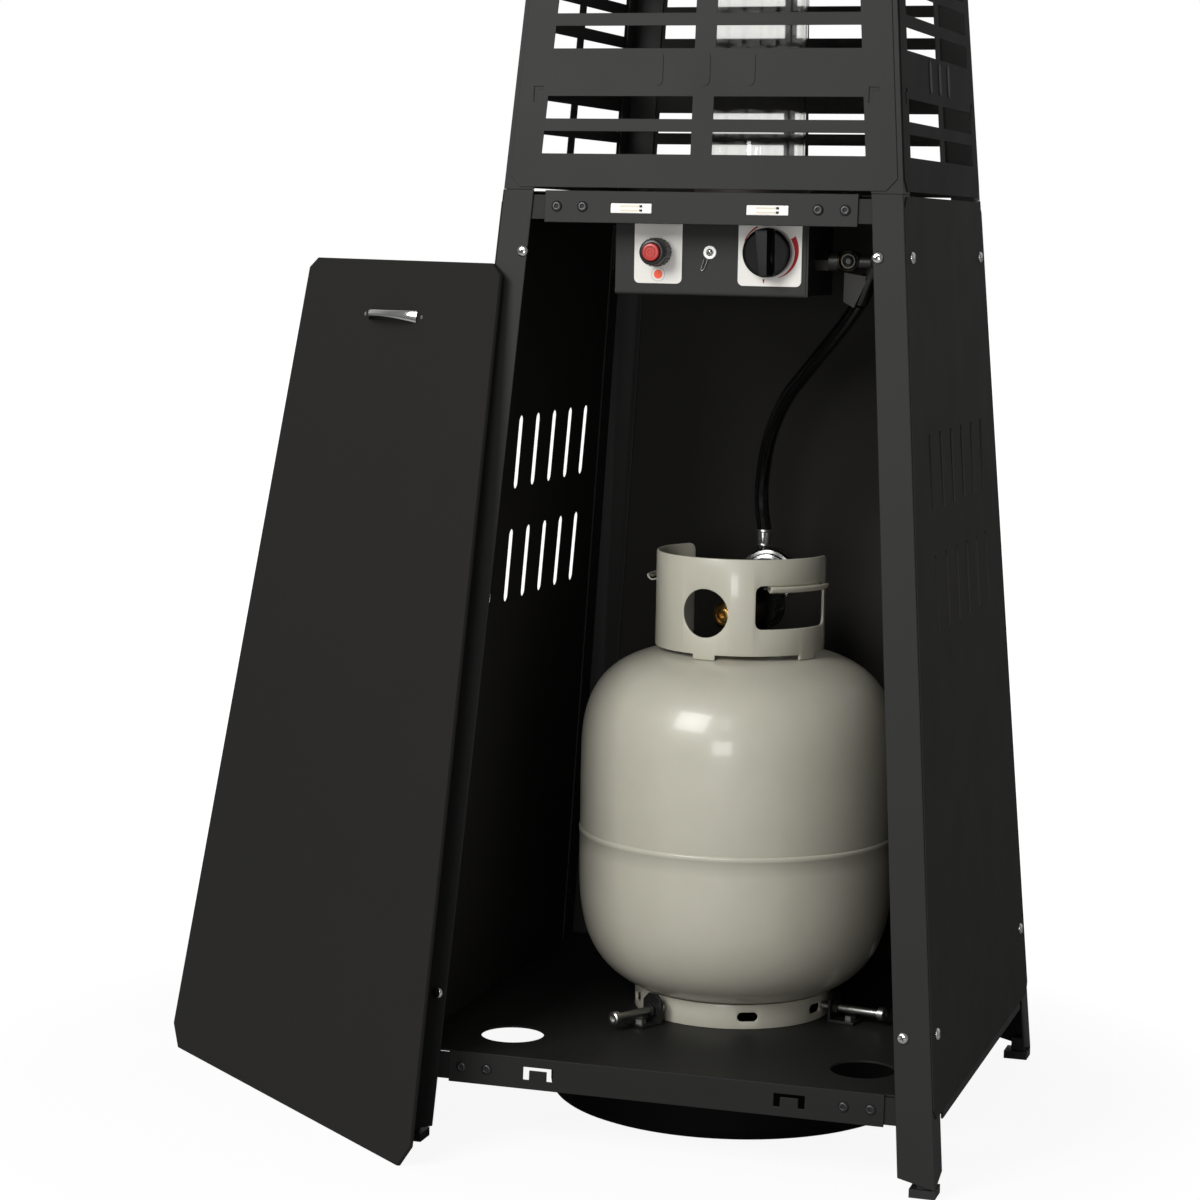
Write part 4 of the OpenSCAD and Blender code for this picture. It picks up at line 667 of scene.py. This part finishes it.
# %% Regulator
housing = turned([(0, -11), (24, -11), (27.5, -9), (28.5, -7), (28.5, -3.5), (26.8, -2.4),
                  (26.8, 2.4), (28.5, 3.5), (28.5, 8.5), (27, 10.2), (24, 10.8), (22.8, 12.6),
                  (20, 13.2), (18.6, 12.0), (14, 12.4), (13, 14.2), (10, 15), (0, 15.2)], 96)
spigot = turned([(0, -13), (13.8, -13), (13.8, 12.6), (0, 12.6)], 48)
neck = turned([(0, -20), (6.4, -20), (6.4, 0), (0, 0)], 32)
pieces = [moved(housing, within(facing_front(4.9, 87.3, 513))),
          moved(spigot, within(facing_front(1.6, 85.5, 485))),
          moved(neck, shift(-1.6, 87.31, 543.2))]
make("regulator_housing", joined(*pieces), millimetres, replaces=["regulator"],
     smooth=30)

# %% [markdown]
# The relief valve faces the doorway through the collar's round window: rings of brass round a
# socket.

# %% Relief valve
relief_frame = facing_front(-13.1, -17.0, 485.0) @ spin_y(-14)
relief = turned([(0, 0), (11, 0), (11, 2.4), (9.4, 3.4), (8.2, 3.4), (8.2, 2.2), (6.8, 2.2),
                 (6.8, 4.6), (5.6, 5.2), (3.4, 5.2), (3.4, 1.6), (0, 1.6)], 48)
make("relief_valve_face", relief, relief_frame)

# %% [markdown]
# ## Finishes
# Most of the heater is sheet steel with a powder coat: a plastic powder that is baked on and
# dries with a fine, slightly uneven grain. A finish is built from nodes, so that it has no seams
# and needs no picture. One function turns a hex colour into the linear numbers that a shader
# works in, and one adds a node with its settings and its links.

# %% Material helpers
def linear(hex_colour):
    """The linear colour of an sRGB hex value."""
    parts = [int(hex_colour[i:i + 2], 16) / 255 for i in (1, 3, 5)]
    return tuple(c / 12.92 if c <= 0.04045 else ((c + 0.055) / 1.055) ** 2.4 for c in parts) + (1,)


def add(material, kind, links=(), **settings):
    """Adds a node. Settings are properties or sockets, and links are socket and source pairs."""
    tree = material.node_tree
    node = tree.nodes.new(kind)
    for key, value in settings.items():
        if hasattr(node, key):
            setattr(node, key, value)
        else:
            node.inputs[key.replace("_", " ")].default_value = value
    for socket, source in links:
        tree.links.new(source, node.inputs[socket])
    return node


def new_material(name, **settings):
    """A material with a principled shader whose constant sockets are set."""
    material = bpy.data.materials.new(name)
    material.use_nodes = True
    shader = material.node_tree.nodes["Principled BSDF"]
    for key, value in settings.items():
        shader.inputs[key.replace("_", " ")].default_value = value
    return material, shader


# %% [markdown]
# A colour drifts between two hex values over patches of some size, the gloss drifts with it, and
# a fine noise gives the surface its grain. A Mix node's sockets share their names, so they go by
# number.

# %% Patterns
mix_factor, float_a, float_b, colour_a, colour_b, mixed_colour = 0, 2, 3, 6, 7, 2


def mottled(material, shader, low, high, size):
    """Colour that drifts between two hex values over patches of `size` metres."""
    where = add(material, "ShaderNodeTexCoord").outputs["Object"]
    cloud = add(material, "ShaderNodeTexNoise", [("Vector", where)], Scale=1 / size, Detail=3.0)
    colours = add(material, "ShaderNodeMix", [(mix_factor, cloud.outputs["Fac"])],
                  data_type="RGBA")
    colours.inputs[colour_a].default_value = linear(low)
    colours.inputs[colour_b].default_value = linear(high)
    material.node_tree.links.new(colours.outputs[mixed_colour], shader.inputs["Base Color"])
    return cloud


def grained(material, shader, size, height):
    """A bump of grains that are `size` metres wide and `height` metres high."""
    where = add(material, "ShaderNodeTexCoord").outputs["Object"]
    grain = add(material, "ShaderNodeTexNoise", [("Vector", where)], Scale=1 / size, Detail=2.0)
    bump = add(material, "ShaderNodeBump", [("Height", grain.outputs["Fac"])],
               Distance=height, Strength=1.0)
    material.node_tree.links.new(bump.outputs["Normal"], shader.inputs["Normal"])
    return grain


def uneven_gloss(material, shader, cloud, low, high):
    """Roughness that drifts between two values with a pattern."""
    drift = add(material, "ShaderNodeMapRange", [("Value", cloud.outputs["Fac"])],
                To_Min=low, To_Max=high)
    material.node_tree.links.new(drift.outputs["Result"], shader.inputs["Roughness"])


def powder_coat(name, low, high, rough, shine):
    """Powder-coated sheet steel."""
    material, shader = new_material(name, Specular_IOR_Level=shine)
    cloud = mottled(material, shader, low, high, 60 * mm)
    uneven_gloss(material, shader, cloud, rough - 0.06, rough + 0.06)
    grained(material, shader, 1.2 * mm, 0.02 * mm)
    return material


def plain_finish(name, low, high, rough, grain, height, **settings):
    """A finish with a drifting colour, a drifting gloss and a grain given in millimetres."""
    material, shader = new_material(name, **settings)
    cloud = mottled(material, shader, low, high, 25 * mm)
    uneven_gloss(material, shader, cloud, rough * 0.85, rough * 1.15)
    grained(material, shader, grain * mm, height * mm)
    return material


def dress(material, *names):
    """Gives a material to CAD nodes or new pieces."""
    for name in names:
        piece = nodes.get(name) or bpy.data.objects[name]
        piece.data.materials.clear()
        piece.data.materials.append(material)
    print(material.name, "on", len(names))


# %% [markdown]
# Powder coat is matt with a faint grain, so it takes soft, wide highlights. The tower and the
# posts are charcoal, the panels a little darker, and the parts under the cabinet nearly black.
# The side and rear guards carry painted shade, darker and duller than the front guard, and the
# ballast pan under the board is painted nearly black with painted shade.

# %% Powder coats
for name, low, high, rough, shine, pieces in (
        ("charcoal", "#282827", "#2b2b2a", 0.5, 0.12,
         ("guard_skin_front", "guard_beads", "lower_post_skins", "upper_posts", "top_plate")),
        # The side and rear guards are the front guard's coat with painted shade: darker and
        # duller.
        ("guard", "#222120", "#252423", 0.6, 0.05,
         ("guard_skin_right", "guard_skin_rear", "guard_skin_left")),
        ("rail", "#292928", "#2c2c2b", 0.5, 0.12, ("rail_skin", "reflector")),
        ("panel", "#292826", "#2c2b29", 0.6, 0.05,
         ("side_panel_left", "side_panel_right", "rear_panel")),
        ("door", "#201f1e", "#232221", 0.5, 0.08, ("door_skin", "panel_hooks")),
        ("black", "#1f1f1e", "#222221", 0.5, 0.12,
         ("board_skin", "frame_brackets", "burner_plate")),
        ("box", "#2e2e2d", "#313130", 0.5, 0.12, ("box_skin", "box_bend")),
        ("clamp", "#141413", "#171716", 0.45, 0.3, ("clamp_bracket_skins",)),
        # The ballast pan is painted nearly black with painted shade, as it hangs in full shadow
        # under the board.
        ("pan", "#080808", "#0b0b0b", 0.5, 0.05, ("ballast_pan",))):
    dress(powder_coat(f"powder_coat_{name}", low, high, rough, shine), *pieces)

# %% [markdown]
# The cylinder has a thick, glossy coat of warm grey paint. A coat layer over a rougher base gives
# the paint its depth: a sharp, weak highlight over a soft, broad one.

# %% Cylinder paint
tank_paint = plain_finish("cylinder_enamel", "#aeab9c", "#b5b2a3", 0.35, 4, 0.03,
                          Coat_Weight=0.3, Coat_Roughness=0.1)
dress(tank_paint, "cylinder_shell", "collar_skin", "foot_ring_skin")

# %% [markdown]
# Polished chrome and diecast metal mirror the lamps sharply, the diecast more dimly. Zinc plate
# is pale with a satin shine, and brushed stainless steel is greyer and grainier. Machined brass
# is yellow and bright. The brass in the cabinet's shade is painted brown, and the union nut dark
# grey, with painted shade. Each row has a name, two colours, a roughness, and the width and height
# of the grain in millimetres.

# %% Metals
for name, low, high, rough, grain, height, pieces in (
        ("polished_chrome", "#c9c9c8", "#d2d2d0", 0.12, 2, 0.002,
         ("handle_bow", "frame_screw_heads")),
        ("polished_diecast", "#7c7c7a", "#8a8a88", 0.16, 2, 0.002, ("regulator_housing",)),
        ("zinc_plated_steel", "#a9a9a5", "#b9b9b4", 0.32, 1, 0.01,
         ("handle_screws", "box_screw_clip", "bracket_screws", "crimped_sleeve",
          "box_screw_head", "clamp_bolt_1", "clamp_bolt_2", "clamp_bolt_3", "reflector_studs",
          "burner_pipe")),
        # The union nut's dark grey is painted shade on plated steel.
        ("shaded_plated_steel", "#3b3a38", "#464442", 0.35, 1, 0.01, ("union_nut",)),
        ("machined_brass", "#a8854a", "#b8945a", 0.3, 1, 0.01,
         ("valve_stem", "relief_valve_face")),
        # This brass is painted brown with painted shade, deep in the cabinet.
        ("shaded_brass", "#34270f", "#403016", 0.35, 1, 0.01, ("elbow_brass", "tank_valve")),
        ("cast_alloy", "#96948f", "#a3a19b", 0.5, 0.8, 0.05, ("gas_valve",)),
        ("brushed_stainless", "#87847f", "#96938d", 0.35, 0.6, 0.02,
         ("burner_head", "pilot_burner", "flame_screen"))):
    dress(plain_finish(name, low, high, rough, grain, height, Metallic=1.0), *pieces)

# %% [markdown]
# Blackened steel has a black oxide skin with a dull shine. The elbow fitting is painted nearly
# black with painted shade, and sockets and cross recesses darker still with painted shadow.
# Moulded
# ABS and nylon are even in colour with a soft sheen, and the knob's is polished. Label film and
# paper are matt, and the paper flag is painted dark grey with painted shade. Rubber is dull, but
# the hose's smooth skin shines.

# %% Oxide, plastic, film and rubber
for name, low, high, rough, grain, height, pieces in (
        ("blackened_steel", "#151515", "#1b1b1b", 0.35, 1, 0.01, ("black_screw_heads",)),
        ("socket_shadow", "#040404", "#070707", 0.7, 1, 0.01,
         ("black_screw_sockets", "box_screw_cross", "catch_hooks", "frame_screw_crosses")),
        ("nickel_brass_strip", "#c9bfa8", "#d3c9b2", 0.45, 1, 0.01, ("catch_tongues",)),
        # The elbow and its boss are painted nearly black with painted shade.
        ("shaded_fitting", "#12110f", "#1a1916", 0.4, 1, 0.01, ("inlet_elbow", "elbow_boss")),
        ("moulded_white_abs", "#dddcd6", "#e4e3de", 0.45, 0.6, 0.01, ("catch_housings",)),
        ("white_nylon", "#f1f1ee", "#f6f6f4", 0.4, 0.6, 0.005, ("box_screw_washer",)),
        ("label_film", "#d3d0ca", "#d9d6d0", 0.4, 1, 0.005, ("igniter_label", "knob_label")),
        ("moulded_black_abs", "#111111", "#171717", 0.35, 0.8, 0.01,
         ("igniter_ring", "coupling_nut", "tank_handwheel")),
        ("gloss_black_abs", "#060606", "#090909", 0.16, 0.8, 0.002, ("gas_knob_cap",)),
        ("red_abs", "#a62a24", "#b0302a", 0.35, 0.8, 0.01, ("igniter_cap",)),
        ("printed_orange", "#e84a22", "#ee5228", 0.4, 0.8, 0.002, ("igniter_mark",)),
        ("printed_grey", "#9b9b98", "#a3a3a0", 0.4, 0.8, 0.002, ("igniter_mark_ring",)),
        ("moulded_rubber", "#131313", "#1a1a1a", 0.6, 0.8, 0.03, ("foot_pads",)),
        ("glossy_hose", "#050505", "#080808", 0.22, 0.8, 0.004,
         ("gas_hose_skin", "rubber_sleeve")),
        ("heat_proof_ring", "#2b2423", "#332b2a", 0.6, 1, 0.02, ("tube_seal",)),
        # The paper flag is painted dark grey with painted shade.
        ("shaded_paper_tag", "#2b2a28", "#32312e", 0.6, 1, 0.01, ("blank_flag",))):
    dress(plain_finish(name, low, high, rough, grain, height), *pieces)
dress(plain_finish("printed_red", "#9c0a14", "#a50f1a", 0.5, 0.8, 0.002,
                   Specular_IOR_Level=0.15), "dial_scale")

# %% [markdown]
# The flame tube is borosilicate glass, clear with a faint drawn waviness.

# %% Glass
glass, glass_shader = new_material("borosilicate_glass", Transmission_Weight=1.0, IOR=1.47,
                                   Base_Color=linear("#f3f3f1"))
glass_cloud = grained(glass, glass_shader, 120 * mm, 0.05 * mm)
uneven_gloss(glass, glass_shader, glass_cloud, 0.02, 0.06)
dress(glass, "glass_tube")

# %% [markdown]
# ## Floor, background and light
# The picture is on pure white. The world is white to the camera and through glass. Reflections
# see the white backdrop behind the heater and a darker room in front of it, as in a real studio,
# so that black powder coat stays black. Everything else gets a plain, dimmer light from it.

# %% World
world = bpy.data.worlds.new("white_studio")
bpy.context.scene.world = world
world.use_nodes = True
world.node_tree.nodes.clear()
ray = add(world, "ShaderNodeLightPath")
seen = add(world, "ShaderNodeMath", [(0, ray.outputs["Is Camera Ray"]),
                                     (1, ray.outputs["Is Transmission Ray"])],
           operation="MAXIMUM")
direction = add(world, "ShaderNodeTexCoord")
axes = add(world, "ShaderNodeSeparateXYZ", [("Vector", direction.outputs["Generated"])])
room = add(world, "ShaderNodeMapRange", [("Value", axes.outputs["Y"])],
           interpolation_type="SMOOTHSTEP", From_Min=-0.3, From_Max=0.6, To_Min=0.25, To_Max=0.5)
glossy = add(world, "ShaderNodeMix", [(mix_factor, ray.outputs["Is Glossy Ray"]),
                                      (float_b, room.outputs["Result"])])
glossy.inputs[float_a].default_value = 0.36
strength = add(world, "ShaderNodeMix", [(mix_factor, seen.outputs[0]),
                                        (float_a, glossy.outputs[0])])
strength.inputs[float_b].default_value = 1.0
sky = add(world, "ShaderNodeBackground", [("Strength", strength.outputs[0])],
          Color=linear("#ffffff"))
add(world, "ShaderNodeOutputWorld", [("Surface", sky.outputs[0])])
print("world ready")

# %% [markdown]
# The floor is white paper. Near the heater a fifth of what the camera sees of it is real light,
# which keeps a faint shadow. Further out it is plain white, so it meets the background without a
# line.

# %% Floor
floor_mesh = bmesh.new()
bmesh.ops.create_grid(floor_mesh, x_segments=1, y_segments=1, size=30)
floor_data = bpy.data.meshes.new("studio_floor")
floor_mesh.to_mesh(floor_data)
floor_mesh.free()
floor = bpy.data.objects.new("studio_floor", floor_data)
bpy.context.collection.objects.link(floor)
paper, paper_shader = new_material("white_paper", Base_Color=linear("#b4b4b4"), Roughness=0.9,
                                   Specular_IOR_Level=0.1)
glow = add(paper, "ShaderNodeEmission", Color=linear("#ffffff"), Strength=1.12)
spot = add(paper, "ShaderNodeTexCoord")
distance = add(paper, "ShaderNodeVectorMath", [(0, spot.outputs["Object"])], operation="LENGTH")
far = add(paper, "ShaderNodeMapRange", [("Value", distance.outputs["Value"])],
          interpolation_type="SMOOTHSTEP", From_Min=0.5, From_Max=1.1, To_Min=0.82, To_Max=1.0)
seen_by = add(paper, "ShaderNodeLightPath")
share = add(paper, "ShaderNodeMath", [(0, seen_by.outputs["Is Camera Ray"]),
                                      (1, far.outputs["Result"])], operation="MULTIPLY")
blend_paper = add(paper, "ShaderNodeMixShader",
                  [(0, share.outputs[0]), (1, paper_shader.outputs[0]), (2, glow.outputs[0])])
paper.node_tree.links.new(blend_paper.outputs[0],
                          paper.node_tree.nodes["Material Output"].inputs["Surface"])
floor_data.materials.append(paper)
print("floor ready")

# %% [markdown]
# One large soft lamp stands left of the camera, above the doorway's height, so that light reaches
# the cylinder and fades towards the floor. A strip over the camera draws the highlights on metal,
# and a weak low lamp lifts the inside of the cabinet.

# %% Lamps
def lamp(name, spot, aim, width, height, power):
    """A soft lamp at a spot, turned towards a point."""
    data = bpy.data.lights.new(name, "AREA")
    data.shape = "RECTANGLE"
    data.size, data.size_y = width, height
    data.energy = power
    made = bpy.data.objects.new(name, data)
    made.location = spot
    made.rotation_mode = "QUATERNION"
    made.rotation_quaternion = (Vector(aim) - Vector(spot)).to_track_quat("-Z", "Y")
    bpy.context.collection.objects.link(made)


lamp("key_softbox", (-0.9, -2.5, 2.0), (0.1, 0, 0.7), 1.3, 1.3, 72)
lamp("edge_strip", (0.45, -3.4, 2.5), (0.1, 0, 0.5), 0.5, 1.2, 6)
lamp("low_fill", (0.35, -3.3, 0.75), (-0.1, 0, 0.4), 0.8, 0.6, 18)
print("stage ready")

# %% [markdown]
# ## Finish
# The colours are shown as they are, without a film curve.

# %% Colour view
bpy.context.scene.view_settings.view_transform = "Standard"
